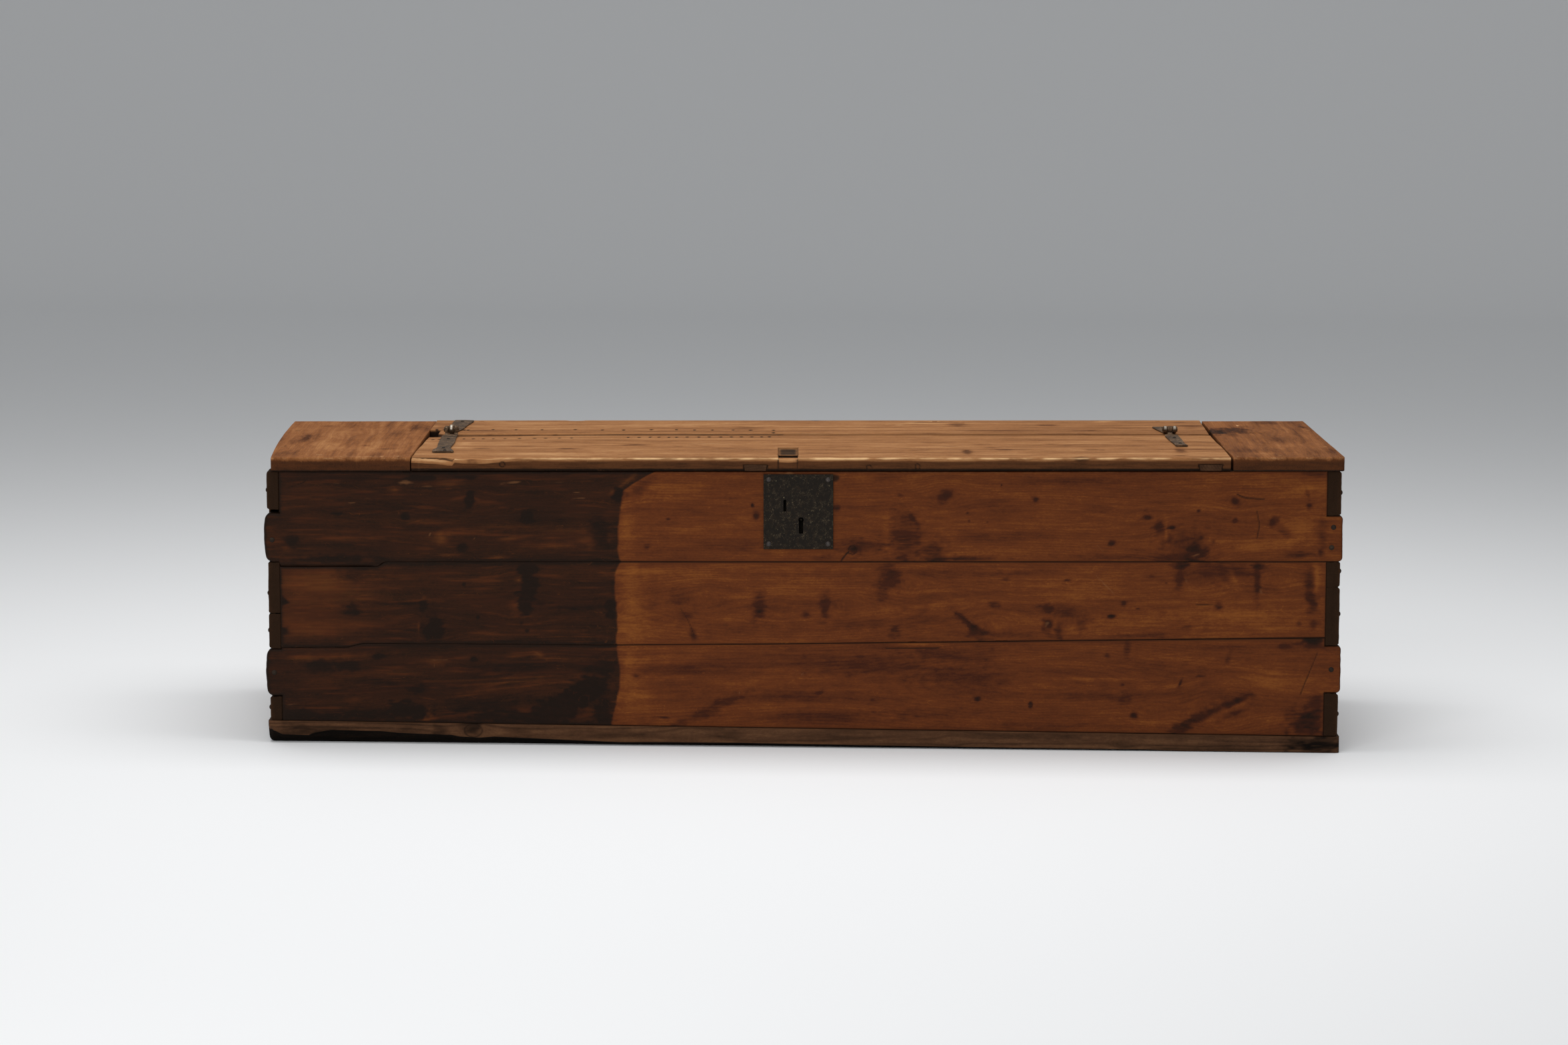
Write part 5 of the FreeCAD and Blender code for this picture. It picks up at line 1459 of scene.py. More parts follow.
@dataclass
class Sides:
    """The side walls: two planks each, notched for the fingers of the long walls."""

    face_out: float = 938.0
    depth: float = 274.0
    notch: float = 250.0
    left_thick: float = 21.0
    right_thick: float = 25.0

    def outline(self, steps: Rows) -> tuple[Corner, ...]:
        """A plank symmetric from front to rear, from (height, half depth) going down.

        Args:
            steps: heights going down, each with the half depth below it.

        Returns:
            The corners, anticlockwise.
        """
        right = []
        for (height, reach), (below, _) in zip(steps, steps[1:]):
            right += [(reach, height), (reach, below)]
        right = right[::-1]
        return tuple([(-x, y) for x, y in right[:1]] + right
                     + [(-x, y) for x, y in right[:0:-1]])

    def build(self) -> None:
        """Build the four planks."""
        deep, notch = self.depth, self.notch
        planks = (
            ("left_upper", Face.LEFT, self.left_thick, 310,
             ((490.0, deep), (421.0, notch), (330.0, deep), (239.0, deep))),
            ("left_lower", Face.LEFT, self.left_thick, 330,
             ((239.0, deep), (176.0, notch), (92.0, deep), (48.9, deep))),
            ("right_upper", Face.RIGHT, self.right_thick, 350,
             ((490.0, deep), (411.0, notch), (330.0, deep), (285.0, deep))),
            ("right_lower", Face.RIGHT, self.right_thick, 370,
             ((285.0, deep), (181.0, notch), (97.0, deep), (19.6, deep))),
        )
        for name, face, thick, seed, steps in planks:
            side, part = name.split("_")
            plane = -self.face_out if face is Face.LEFT else self.face_out
            outline = self.outline(steps)
            middle = (steps[0][0] + steps[-1][0]) / 2
            # The planks' edge faces darken by dirt and painted shade.
            figure = Figure(
                seed=seed, pith=(middle, 40.0), contrast=0.6, edge_dirt=0.95, edge_reach=9.0,
                side_dirt_and_shade=0.95, side_lift=-0.9,
                knots=((90, middle + 20, 12), (-120, middle - 30, 10)),
                stains=((90, middle + 20, 13, 12, 80), (-120, middle - 30, 11, 11, 80),
                        (-150, middle, 90, 40, 30), (100, steps[-1][0] + 20, 160, 16, 40)))
            piece = Piece(f"{side}_{part}_side_board", f"{side}_side_plank_{part}", "case",
                          "wall_planks")
            Board(piece, face, plane, thick, outline, figure, FINISHES.side,
                  (5.5,) * len(outline), (), (3.4, 2.6), edge_rows=9, edge_relief=1.8,
                  slack=1.6, waver=(0.8, 26.0)).build()


# ---- base

WANE: tuple[Corner, ...] = (  # place, height above the floor
    (-942, 20.8), (-936, 20.8), (-916, 14.4), (-871, 13.0), (-860, 18.0), (-831, 23.0),
    (-743, 21.8), (-710, 18.7), (-620, 16.3), (-605, 13.5), (-569, 11.8), (-544, 14.0),
    (-470, 11.3), (-404, 8.8), (-325, 6.2), (-254, 6.9), (-119, 7.3), (98, 5.2), (449, 2.8),
    (588, 3.0), (673, 0.9), (942, 0.4))


def wane_height(a: Array) -> Array:
    """How high above the floor the front board's lower edge runs."""
    places, heights = np.array(WANE).T
    return np.interp(a, places, heights)


def gap_shadow_and_knot_rim(a: Array, b: Array, depth: Array) -> Array:
    """Black painted shadow under the front board's lower edge, and the rim of its loose knot.

    Formula: 1 on whatever lies lower than the wane's height and deeper than the arris,
    and a line where the distance to the knot's middle, in its half sizes, is 1.

    Args:
        a: places along the grain.
        b: places across the grain.
        depth: depth below the face.

    Returns:
        The marks, from 0 to 1.
    """
    above = b - CASE.floor(a) - wane_height(a)
    # black painted shadow on the underside behind the waney edge
    under = smooth_step(-above, -6.0, -1.0) * smooth_step(depth, 1.2, 3.0)
    ring = np.abs(np.hypot((a + 581.0) / 15.5, (b - 31.0) / 11.5) - 1) * 12.0
    return np.maximum(under, 0.7 * np.exp(-(ring / 1.6) ** 2) * (depth < 12.0))


@dataclass
class Base:
    """The base boards. The front one has lost its lower corner to the bark side."""

    reach: float = 941.0
    front: float = -277.0
    thick: float = 184.33
    top: Corner = (48.9, 19.5)
    nominal_top: float = 34.0
    wane_depth: float = 17.0
    corner: Corner = (9.0, 10.0)

    def front_warp(self, a: Array, b: Array, depth: Array) -> Pair:
        """Between the waney lower edge and the sloping top.

        Formula: the lower edge lies at the wane's height on the face and sinks to the
        floor by 3t^2 - 2t^3 as the depth grows; the left end's lower corner is a
        quarter circle.

        Args:
            a: places along the grain.
            b: places across the grain.
            depth: depth below the face.

        Returns:
            The moved a and b.
        """
        lifted = wane_height(a) * (1 - smooth_step(depth, 3.0, self.wane_depth))
        low = CASE.floor(a) + lifted
        high = CASE.along(a, *self.top)
        height = (high - low) * b / self.nominal_top
        near = np.clip(1 - height / self.corner[1], 0, 1)
        drawn = self.corner[0] * (1 - np.sqrt(1 - near ** 2))
        return a + drawn * (1 - smooth_step(a, -940.0, -915.0)), low + height

    def rear_warp(self, a: Array, b: Array, depth: Array) -> Pair:
        """Between the floor and the sloping top."""
        low = CASE.floor(a)
        return a, low + (CASE.along(a, *self.top) - low) * b / self.nominal_top

    def build(self) -> None:
        """Build the front and rear boards; the middle one stays as packed."""
        outline = box(-self.reach, 0.0, self.reach, self.nominal_top)
        figure = Figure(
            seed=410, pith=(20.0, 26.0), contrast=0.75, edge_dirt=0.3, marks=gap_shadow_and_knot_rim,
            knots=((-581, 31, 11), (-200, 20, 8), (260, 12, 8), (560, 8, 8)),
            stains=((-581, 31, 14, 9, 45), (-640, 33, 14, 9, 40), (-500, 30, 22, 8, 35),
                    (-890, 36, 34, 12, 35), (-590, 40, 16, 10, 40), (-350, 26, 60, 8, 30),
                    (905, 4, 42, 14, 95), (860, 8, 26, 12, 60), (-850, 34, 60, 6, 30),
                    (-700, 28, 40, 6, 30), (30, 22, 60, 8, 30), (700, 4, 80, 8, 30),
                    (-130, 24, 30, 8, 35), (470, 12, 60, 6, 30)),
            glows=((-300, 30, 90, 6, 25), (180, 20, 90, 5, 30), (-760, 40, 60, 4, 25),
                   (240, 16, 300, 9, 30), (640, 8, 220, 8, 35)))
        Board(Piece("base_front_board", "base_board_front", "case", "base_boards"),
              Face.FRONT, self.front, self.thick, outline, figure, FINISHES.base,
              (2.4, 9.0, 1.8, 3.5), (Wear(3, 6, 8, 9.0), Wear(2, 925, 20, 3.0)), (2.2, 1.7),
              edge_rows=18, edge_power=2.0, slack=0.4, warp=self.front_warp).build()
        plain = Figure(seed=430, pith=(20.0, 26.0), contrast=0.5)
        Board(Piece("base_rear_board", "base_board_rear", "case", "base_boards"),
              Face.REAR, -self.front, self.thick, outline, plain, FINISHES.base,
              (3.0, 3.0, 1.8, 3.0), (), (4.0, 2.6), edge_rows=4, warp=self.rear_warp).build()


# ---- top

BATTEN_ENDS: Rows = ((-85.0, 18.0), (708.0, 18.0))  # middle and half width
BATTEN_TOP = 14.2  # depth below the lid's face
PEGS: Rows = ((-525.6, 12.0), (112.8, 17.9), (197.5, 16.0))  # place and depth
RECESS_MIDDLE = -28.0
RECESS_CORNERS = (-45.0, -12.0)


def batten_gap(a: Array, depth: Array, middle: float, half: float) -> Array:
    """How far a point of the lid's front edge lies inside a batten's dovetail end.

    Formula: the lesser of the height above the dovetail's foot and the distance to its
    slanting sides.

    Args:
        a: places along the lid.
        depth: depth below the lid's face.
        middle: middle of the batten.
        half: half its width at the top of the dovetail.

    Returns:
        Millimetres, less than 0 outside.
    """
    high = depth - BATTEN_TOP
    return np.minimum(high, half + 2.0 - 0.19 * np.clip(high, 0, 11) - np.abs(a - middle))


def lid_marks_and_shadow(a: Array, b: Array, depth: Array) -> Array:
    """Dark marks on the lid's front edge and in its recess, and painted shadow at the edge's foot.

    Formula: on the edge, the greatest of the battens' outlines, rings round three pegs,
    two lines below the recess's corners and a black painted shadow along the foot
    between the battens; in the recess, a patch at its rear and lines along its three walls.

    Args:
        a: places along the grain.
        b: places across the grain.
        depth: depth below the face.

    Returns:
        The marks, from 0 to 1.
    """
    front = smooth_step(-b, 276.0, 278.5) * smooth_step(depth, 1.5, 3.5)
    off = a - RECESS_MIDDLE
    back = np.exp(-(off / 16.5) ** 8 - ((b + 181) / 49.0) ** 8)
    rims = np.exp(-((np.abs(off) - 17.0) / 1.9) ** 2) * (np.abs(b + 196) < 66)
    rims = np.maximum(rims, np.exp(-((b + 135) / 5.0) ** 2) * (np.abs(off) < 18))
    seat = np.where(depth < 5.0, np.maximum(0.95 * back, 0.6 * rims), 0.0)
    gaps = [batten_gap(a, depth, *ends) for ends in BATTEN_ENDS]
    lines = [smooth_step(gap, -2.6, -1.6) for gap in gaps]
    lines += [0.95 * np.exp(-((np.hypot(a - middle, depth - high) - 4.5) / 1.6) ** 2)
              for middle, high in PEGS]
    lines += [0.85 * np.exp(-((a - side) / 2.2) ** 2) for side in RECESS_CORNERS]
    # black painted shadow along the edge's foot, between the battens
    lines.append(smooth_step(depth, 18.2, 20.2) * (np.max(gaps, 0) < -1.0))
    return np.maximum(front * np.max(lines, 0), seat)


def foot_shadow(a: Array, b: Array, depth: Array) -> Array:
    """Black painted shadow along the foot of an end board's edge."""
    return 0.95 * smooth_step(depth, 21.0, 23.5)


def notch_shadow(a: Array, b: Array, depth: Array) -> Array:
    """Black painted shade down the rear board's notched corner, below its face."""
    return smooth_step(-a, 650.0, 663.0) * smooth_step(depth, 1.2, 2.6) * (b < 132.0)


@dataclass
class Top:
    """The fixed end boards and rear board, and the lid board that is hinged to it."""

    half_depth: float = 280.0
    left_seam: float = -686.0
    right_seam: float = 747.0
    end_top: float = 515.0
    end_thick: float = 25.0
    rear_top: float = 516.5
    rear_thick: float = 26.5
    lid_top: float = 514.5
    lid_thick: float = 23.5
    hinge_seam: float = 57.0
    outer: float = 940.0
    taper: float = 600.0
    corner: float = 8.0
    notch: Corner = (-666.0, 130.0)
    lid_left: float = -683.5
    lid_right: float = 744.5
    lid_rear: float = 54.0
    hasp_slot: Corner = (-262.0, -228.0)
    recess: tuple[float, ...] = (-45.0, -11.0, -134.0, 2.5)  # left, right, rear, depth

    def left_warp(self, a: Array, b: Array, depth: Array) -> Pair:
        """Bend the left board's outer edge: a straight slant plus a shallow bow.

        Formula: the width is stretched in proportion, from the seam to the bent edge.

        Args:
            a: places along the grain.
            b: places across the grain.
            depth: not used.

        Returns:
            The moved a and b.
        """
        t = a / self.half_depth
        edge = -(929 + 23 * (t + 1) / 2 + 5 * (1 - t * t))
        share = (b - self.left_seam) / (-self.outer - self.left_seam)
        return a, self.left_seam + share * (edge - self.left_seam)

    def right_warp(self, a: Array, b: Array, depth: Array) -> Pair:
        """Slant the right board's outer edge and round its front corner.

        Formula: the width is stretched in proportion; the corner is a quarter circle.

        Args:
            a: places along the grain.
            b: places across the grain.
            depth: not used.

        Returns:
            The moved a and b.
        """
        t = a / self.half_depth
        near = np.clip(self.corner - (a + self.half_depth), 0, self.corner)
        edge = 942 - 3 * (t + 1) - (self.corner - np.sqrt(self.corner ** 2 - near ** 2))
        seam = self.right_seam - 1.5 * smooth_step(a, -250.0, -150.0)
        share = (b - self.right_seam) / (self.outer - self.right_seam)
        return a, seam + share * (edge - seam)

    def rear_warp(self, a: Array, b: Array, depth: Array) -> Pair:
        """Draw the rear board's right end in, more at its front than at its rear.

        Formula: the share of the way to the end, times 9 mm at the seam and 5 at the rear.

        Args:
            a: places along the grain.
            b: places across the grain.
            depth: not used.

        Returns:
            The moved a and b.
        """
        near = np.clip((a - self.taper) / (self.right_seam - self.taper), 0, 1)
        share = (b - self.hinge_seam) / (self.half_depth - self.hinge_seam)
        return a - near * (9.0 - 4.0 * share), b

    def lid_warp(self, a: Array, b: Array, depth: Array) -> Pair:
        """Draw the lid's worn ends in, more towards the rear.

        Formula: each end moves by its share of the way to it, times a smooth step from
        front to rear.

        Args:
            a: places along the grain.
            b: places across the grain.
            depth: not used.

        Returns:
            The moved a and b.
        """
        left = np.clip(1 - (a - self.lid_left) / 40.0, 0, 1)
        right = np.clip((a - self.taper) / (self.lid_right - self.taper), 0, 1)
        drawn = right * (1.3 + 3.0 * smooth_step(b, -150.0, self.lid_rear))
        return a + left * (2.2 * smooth_step(b, -150.0, 40.0) - 0.8) - drawn, b

    def lid_sink(self, a: Array, b: Array) -> Array:
        """The hasp's shallow recess, with a ragged wall, and the lid's broad hollows.

        Formula: the recess is a product of three smooth steps, the torn corner a ledge that
        deepens to the right, and each hollow exp of minus a power of the distance.

        Args:
            a: places along the grain.
            b: places across the grain.

        Returns:
            The depth at each place.
        """
        left, right, rear, deep = self.recess
        inside = (smooth_step(a, left - 0.5, left + 0.5)
                  * smooth_step(-a, -right - 0.5, -right + 0.5)
                  * smooth_step(-b, -rear - 1.2, -rear + 1.2))
        dip = 3.2 * np.exp(-((a + 575) / 42) ** 4) * smooth_step(-b, 215.0, 280.0)
        share = np.clip((a + 685) / 74, 0, 1)
        ledge = np.clip((b + self.half_depth) / 8.0, 0, 1)
        torn = (0.3 + 3.0 * share) + (3.2 + 2.6 * share) * (1 - ledge)
        torn = torn * (1 - smooth_step(a, -613.0, -609.0)) * (1 - smooth_step(ledge, 0.93, 1.0))
        low = 1.6 * np.exp(-((a + 684) / 34) ** 2) * smooth_step(b, -190.0, -20.0)
        low = low + 1.8 * np.exp(-((a + 684) / 220) ** 2) * smooth_step(b, -10.0, 50.0)
        return deep * inside + dip + torn + low + 1.2 * np.exp(
            -((a - 744) / 26) ** 2 - ((b + 30) / 70) ** 2)

    def lid_notch(self, a: Array, b: Array, depth: Array) -> Array:
        """Where the lid's front edge gives way to the ends of the two battens."""
        front = smooth_step(-b, self.half_depth - 2.0, self.half_depth - 1.0)
        return 1.6 * front * np.max([
            smooth_step(batten_gap(a, depth, *ends), -2.6, -1.4) for ends in BATTEN_ENDS], 0)

    def rear_sink(self, a: Array, b: Array) -> Array:
        """The rear board's front edge, worn to a slope along its left third.

        Formula: a straight slope from the seam, times a smooth step along the board.

        Args:
            a: places along the grain.
            b: places across the grain.

        Returns:
            The depth at each place.
        """
        slope = np.clip(1 - (b - self.hinge_seam) / 13.0, 0, 1)
        reach = 1 - smooth_step(a, -500.0, -280.0)
        return 5.2 * slope * reach * (1 + 0.2 * value_noise(905, a / 30, b / 9))

    def build(self) -> None:
        """Build the four boards of the top."""
        deep = self.half_depth
        for side, outline, arris, warp in (
            ("left", box(-deep, -self.outer, deep, self.left_seam), (2.0, 1.5, 1.2, 2.6),
             self.left_warp),
            ("right", box(-deep, self.right_seam, deep, self.outer), (1.2, 1.5, 2.0, 2.6),
             self.right_warp),
        ):
            Board(Piece(f"top_{side}_board", f"{side}_end_board", "case", "top_boards"),
                  Face.TOP_DEEP, self.end_top, self.end_thick, outline, TOP_FIGURES[side],
                  FINISHES.end, arris, (), (3.6, 2.4), edge_rows=9, edge_relief=0.5,
                  slack=0.6, warp=warp).build()
        seam, notch = self.hinge_seam, self.notch
        rear = ((notch[0], seam), (self.right_seam, seam), (self.right_seam, deep),
                (self.left_seam, deep), (self.left_seam, notch[1]), notch)
        Board(Piece("top_rear_board", "rear_top_board", "case", "top_boards"),
              Face.TOP_LONG, self.rear_top, self.rear_thick, rear, TOP_FIGURES["rear"],
              FINISHES.top, (1.2, 1.0, 2.0, 1.2, 1.4, 1.4),
              (Wear(0, -600, 110, 2.2, 2.0), Wear(2, -424, 16, 7.0, 2.0)), (2.6, 3.2),
              ((), ((seam, 84.0, 2.2), (110.0, 140.0, 2.2))), edge_rows=6,
              edge_relief=0.5, slack=1.1, warp=self.rear_warp,
              sink=self.rear_sink).build()
        left, right, back, _ = self.recess
        front_end, rear_end = self.hasp_slot
        slot = ((left, front_end), (left, rear_end), (right, rear_end), (right, front_end))
        bands = (tuple((side - 0.6, side + 0.6, 0.5) for side in (left, right)),
                 ((-deep, -270.0, 1.2), (0.0, 38.0, 2.2), (back - 1.4, back + 1.4, 0.8)))
        Board(Piece("top_lid_board", "lid_board", "lid", "top_boards"), Face.TOP_LONG,
              self.lid_top, self.lid_thick,
              box(self.lid_left, -deep, self.lid_right, self.lid_rear),
              TOP_FIGURES["lid"], FINISHES.top, (4.6, 1.2, 1.0, 1.4),
              (Wear(0, -560, 60, 3.0, 1.4), Wear(0, 300, 240, 0.8),
               Wear(0, -300, 160, 1.0), Wear(0, 480, 18, 1.2), Wear(3, -70, 70, 1.8)),
              (2.3, 3.7), bands, slot, edge_rows=10, edge_relief=0.35, slack=0.5,
              warp=self.lid_warp, sink=self.lid_sink, notch=self.lid_notch,
              waver=(0.45, 60.0)).build()


def tacks(*places: Corner) -> Rows:
    """Small round tack holes at these places."""
    return tuple((*place, 3.4, 9, 100) for place in places)


# Each board's edge faces darken by dirt and painted shade, and its worn arrises pale as raw wood
# and a painted highlight.
LEFT_TOP = Figure(
    seed=510, pith=(-800.0, 30.0), contrast=0.8, edge_dirt=0.15, side_dirt_and_shade=0.56, side_lift=-1.4,
    arris_wear_and_highlight=0.35, marks=foot_shadow,
    knots=((85, -822, 14), (-30, -900, 7)),
    stains=(
        (18, -900, 46.7, 10.9, 55), (176, -710, 54, 16, 40), (198, -883, 10.9, 8.6, 40),
        (-155, -738, 13.8, 12.9, 35), (-105, -781, 10, 8.3, 25), (-44, -917, 61.2, 19.1, 25),
        (80, -737, 42.1, 24.4, 15), (-24, -823, 41.1, 36, 15), (187, -796, 32.4, 49.4, 12),
        (-223, -908, 38.9, 16.3, 25)),
    glows=(
        (-145, -834, 39.7, 70.9, 40), (-84, -876, 30.3, 35.7, 30), (-184, -748, 29.5, 47, 30),
        (144, -926, 32.1, 36.8, 20), (-44, -737, 40.8, 35.9, 20), (102, -836, 21.2, 14.6, 20)),
    chips=((-238, -846, 7.8, 9.4, 40), (-267, -775, 6.8, 69.7, 35), (-257, -717, 6.8, 27.9, 30)))
RIGHT_TOP = Figure(
    seed=530, pith=(850.0, 26.0), contrast=0.75, lift=-0.3, edge_dirt=0.15, side_dirt_and_shade=0.52,
    side_lift=-1.4, arris_wear_and_highlight=0.35, marks=foot_shadow,
    knots=((120, 845, 12), (20, 870, 9)),
    stains=(
        (105, 760, 40, 21, 100), (142, 790, 30, 27, 72), (100, 800, 26, 18, 60),
        (179, 922, 15.1, 6.1, 70), (251, 863, 22, 37.2, 25), (-26, 862, 51.2, 36, 15),
        (58, 775, 31.4, 16.9, 30), (-186, 791, 29.5, 46.9, 15), (-186, 920, 39.3, 23.4, 20),
        (185, 819, 16.2, 17.2, 20)),
    glows=((-107, 859, 40.1, 47.5, 25), (-225, 798, 19.5, 46.8, 30), (-147, 890, 49.7, 23.6, 20)),
    chips=((207, 805, 8.7, 2, 80), (-268, 755, 7.7, 3.4, 50), (-288, 809, 5.8, 51, 30)),
    cracks=(((2.4, 0.8), (84, 812), (78, 826), (84, 838), (96, 832), (98, 818), (84, 812)),))
REAR_TOP = Figure(
    seed=550, pith=(190.0, 40.0), contrast=0.85, lift=-0.02, edge_dirt=0.3, side_dirt_and_shade=0.5,
    side_lift=-1.2, arris_wear_and_highlight=0.3, marks=notch_shadow,
    knots=((160, 208, 8), (320, 200, 10)),
    # The first stain, along the worn slope at the left of the front edge, is painted shade.
    stains=(
        (-560, 60, 120, 7, 60), (23, 272, 8.1, 4, 50), (285, 210, 17.3, 32.7, 50),
        (451, 198, 16.1, 7.8, 45), (517, 110, 22.2, 7.7, 50), (698, 242, 12.9, 6.9, 40),
        (242, 249, 42, 7.9, 30), (-593, 110, 47.6, 9.6, 30), (-471, 109, 63.6, 9.6, 22),
        (-251, 109, 95.2, 7.7, 15), (-659, 174, 17.2, 32.4, 25), (-105, 141, 36.8, 32.1, 25),
        (165, 162, 47.8, 9.7, 20), (359, 108, 63.4, 9.5, 20), (607, 151, 47.8, 9.7, 25),
        (719, 172, 29.5, 32.4, 30), (-376, 174, 48, 9.7, 12)),
    glows=(
        (-526, 217, 74.2, 32.8, 35), (-328, 195, 74.1, 32.6, 25), (-205, 217, 61.8, 21.8, 25),
        (561, 260, 14.9, 11.1, 60), (93, 238, 49.7, 22, 25), (499, 194, 37, 21.7, 20),
        (-579, 267, 24.9, 11.1, 30), (-69, 238, 62, 22, 20)),
    chips=(
        (208, 238, 29.8, 8.8, 50), (179, 205, 12.3, 6.5, 40), (242, 260, 14.9, 5.5, 40),
        (-177, 69, 72.9, 5.2, 40), (42, 66, 109.2, 5.2, 35), (-541, 65, 72.8, 5.2, 40),
        (-371, 67, 72.8, 5.2, 30)),
    pits=tacks(
        (-673, 135), (-660, 131), (-622, 126), (-615, 126), (-570, 133), (-528, 131), (-480, 131),
        (-419, 131), (-369, 125), (-330, 125), (-279, 130), (-233, 130), (-200, 125), (-167, 125),
        (-129, 125), (-97, 122), (-55, 121), (-55, 80)),
    # These two wide lines along the hinge seam are painted shadow of the gap, over shallow
    # grooves.
    cracks=(((7, 0.85), (-664, 61), (-40, 61)), ((5, 0.45), (-40, 60), (736, 60))))
LID_TOP = Figure(
    seed=570, pith=(-110.0, 42.0), contrast=0.85, lift=0.02, edge_dirt=0.25, side_dirt_and_shade=0.58,
    side_lift=-1.35, arris_wear_and_highlight=0.95, marks=lid_marks_and_shadow,
    knots=((325, -215, 9), (650, -180, 10), (-200, -100, 8)),
    stains=(
        (-571, -148, 16.9, 8, 50), (-420, -148, 19.9, 10.7, 50), (-440, -40, 15.5, 5.5, 35),
        (-583, -316, 12.7, 38, 50), (-567, -296, 12, 12.9, 50), (-299, -91, 26.3, 10.8, 55),
        (-258, -51, 21.8, 5.5, 30), (287, -197, 8.2, 33.3, 70), (663, -182, 9.4, 35.4, 50),
        (512, -167, 19.9, 6.2, 60), (357, -167, 23, 8, 50), (442, -77, 17, 4.6, 40),
        (387, -298, 4.6, 9.5, 40), (231, -61, 31.1, 6.8, 35), (204, -171, 21.3, 5.3, 35),
        (259, -112, 18.5, 4.5, 40), (314, -82, 18.6, 4.5, 40), (336, -132, 15.3, 4.5, 40),
        (425, -21, 21.8, 5.5, 30), (468, -102, 21.7, 4.5, 30), (571, -142, 18.3, 4.5, 30),
        (599, -21, 18.7, 6.4, 20), (656, -250, 12.2, 8.7, 40), (482, -278, 15.1, 10.3, 50),
        (-494, -111, 27.8, 6.3, 30), (-389, -61, 37.3, 7.3, 20), (-126, -141, 39.9, 6.3, 20),
        (63, -142, 30.7, 6.3, 20), (-535, -20, 37.4, 9.2, 15), (113, -20, 62.4, 9.2, 15),
        (705, -102, 30.9, 9, 20), (-666, -180, 30.6, 8.9, 15)),
    glows=(
        (-28, -205, 15, 62, 55), (-451, -229, 70.1, 19.4, 50), (-533, -60, 35.8, 24.4, 25),
        (-242, -220, 105.2, 19.4, 40), (-337, -171, 70.7, 19.7, 30), (-101, -239, 35, 15.5, 40),
        (109, -240, 81.6, 19.3, 30), (-604, -70, 11.9, 30.4, 30), (342, -230, 70, 15.5, 30),
        (577, -221, 70.1, 15.5, 25), (-610, -141, 16.6, 19.9, 30), (-678, -40, 16.8, 30.6, 30),
        (656, 10, 48.2, 20.6, 25), (543, -41, 47.9, 20.4, 20), (-188, -10, 72.1, 12.4, 30),
        (-7, 11, 72.3, 12.4, 25)),
    chips=(
        (-648, -276, 38, 2.6, 50), (-170, -71, 71.5, 5.1, 35), (40, -71, 71.5, 5, 30),
        (267, -72, 71.5, 4, 20), (-35, -71, 16.6, 5.1, 30)),
    pits=tacks(
        (-670, 5), (-658, 6), (-641, 5), (-614, 5), (-597, 6), (-579, 7), (-561, 9), (-540, 11),
        (-514, 13), (-487, 15), (-467, 17), (-442, 18), (-420, 19), (-318, 26), (-298, 26),
        (-278, 28), (-262, 28), (-244, 28), (-230, 28), (-211, 30), (-190, 31), (-171, 32),
        (-150, 32), (-131, 32), (-113, 32), (-94, 32), (-76, 32), (-62, 34)),
    cracks=(
        ((2.2, 0.95), (-402, 14), (-332, 15)),
        ((1.5, 0.95), (-685, -271.6), (-640, -272), (-610, -273.5))))
TOP_FIGURES = {"left": LEFT_TOP, "right": RIGHT_TOP, "rear": REAR_TOP, "lid": LID_TOP}


# ---- forged iron

def tube_faces(rings: int, around: int, turned: bool, start: int = 0) -> list[list[int]]:
    """Faces of a closed tube whose rings of corners follow each other.

    Args:
        rings: number of rings.
        around: corners in each ring.
        turned: whether the faces have to be turned over.
        start: number of the tube's first corner.

    Returns:
        Corner numbers: one quad between each pair of neighbours, and a flat cap at each
        end.
    """
    grid = start + np.arange(rings * around).reshape(rings, around)
    following = np.roll(grid, -1, axis=1)
    quads = np.stack([grid[:-1], following[:-1], following[1:], grid[1:]], -1).reshape(-1, 4)
    turn = -1 if turned else 1
    caps = [grid[0][::-turn].tolist(), grid[-1][::turn].tolist()]
    return quads[:, ::turn].tolist() + caps


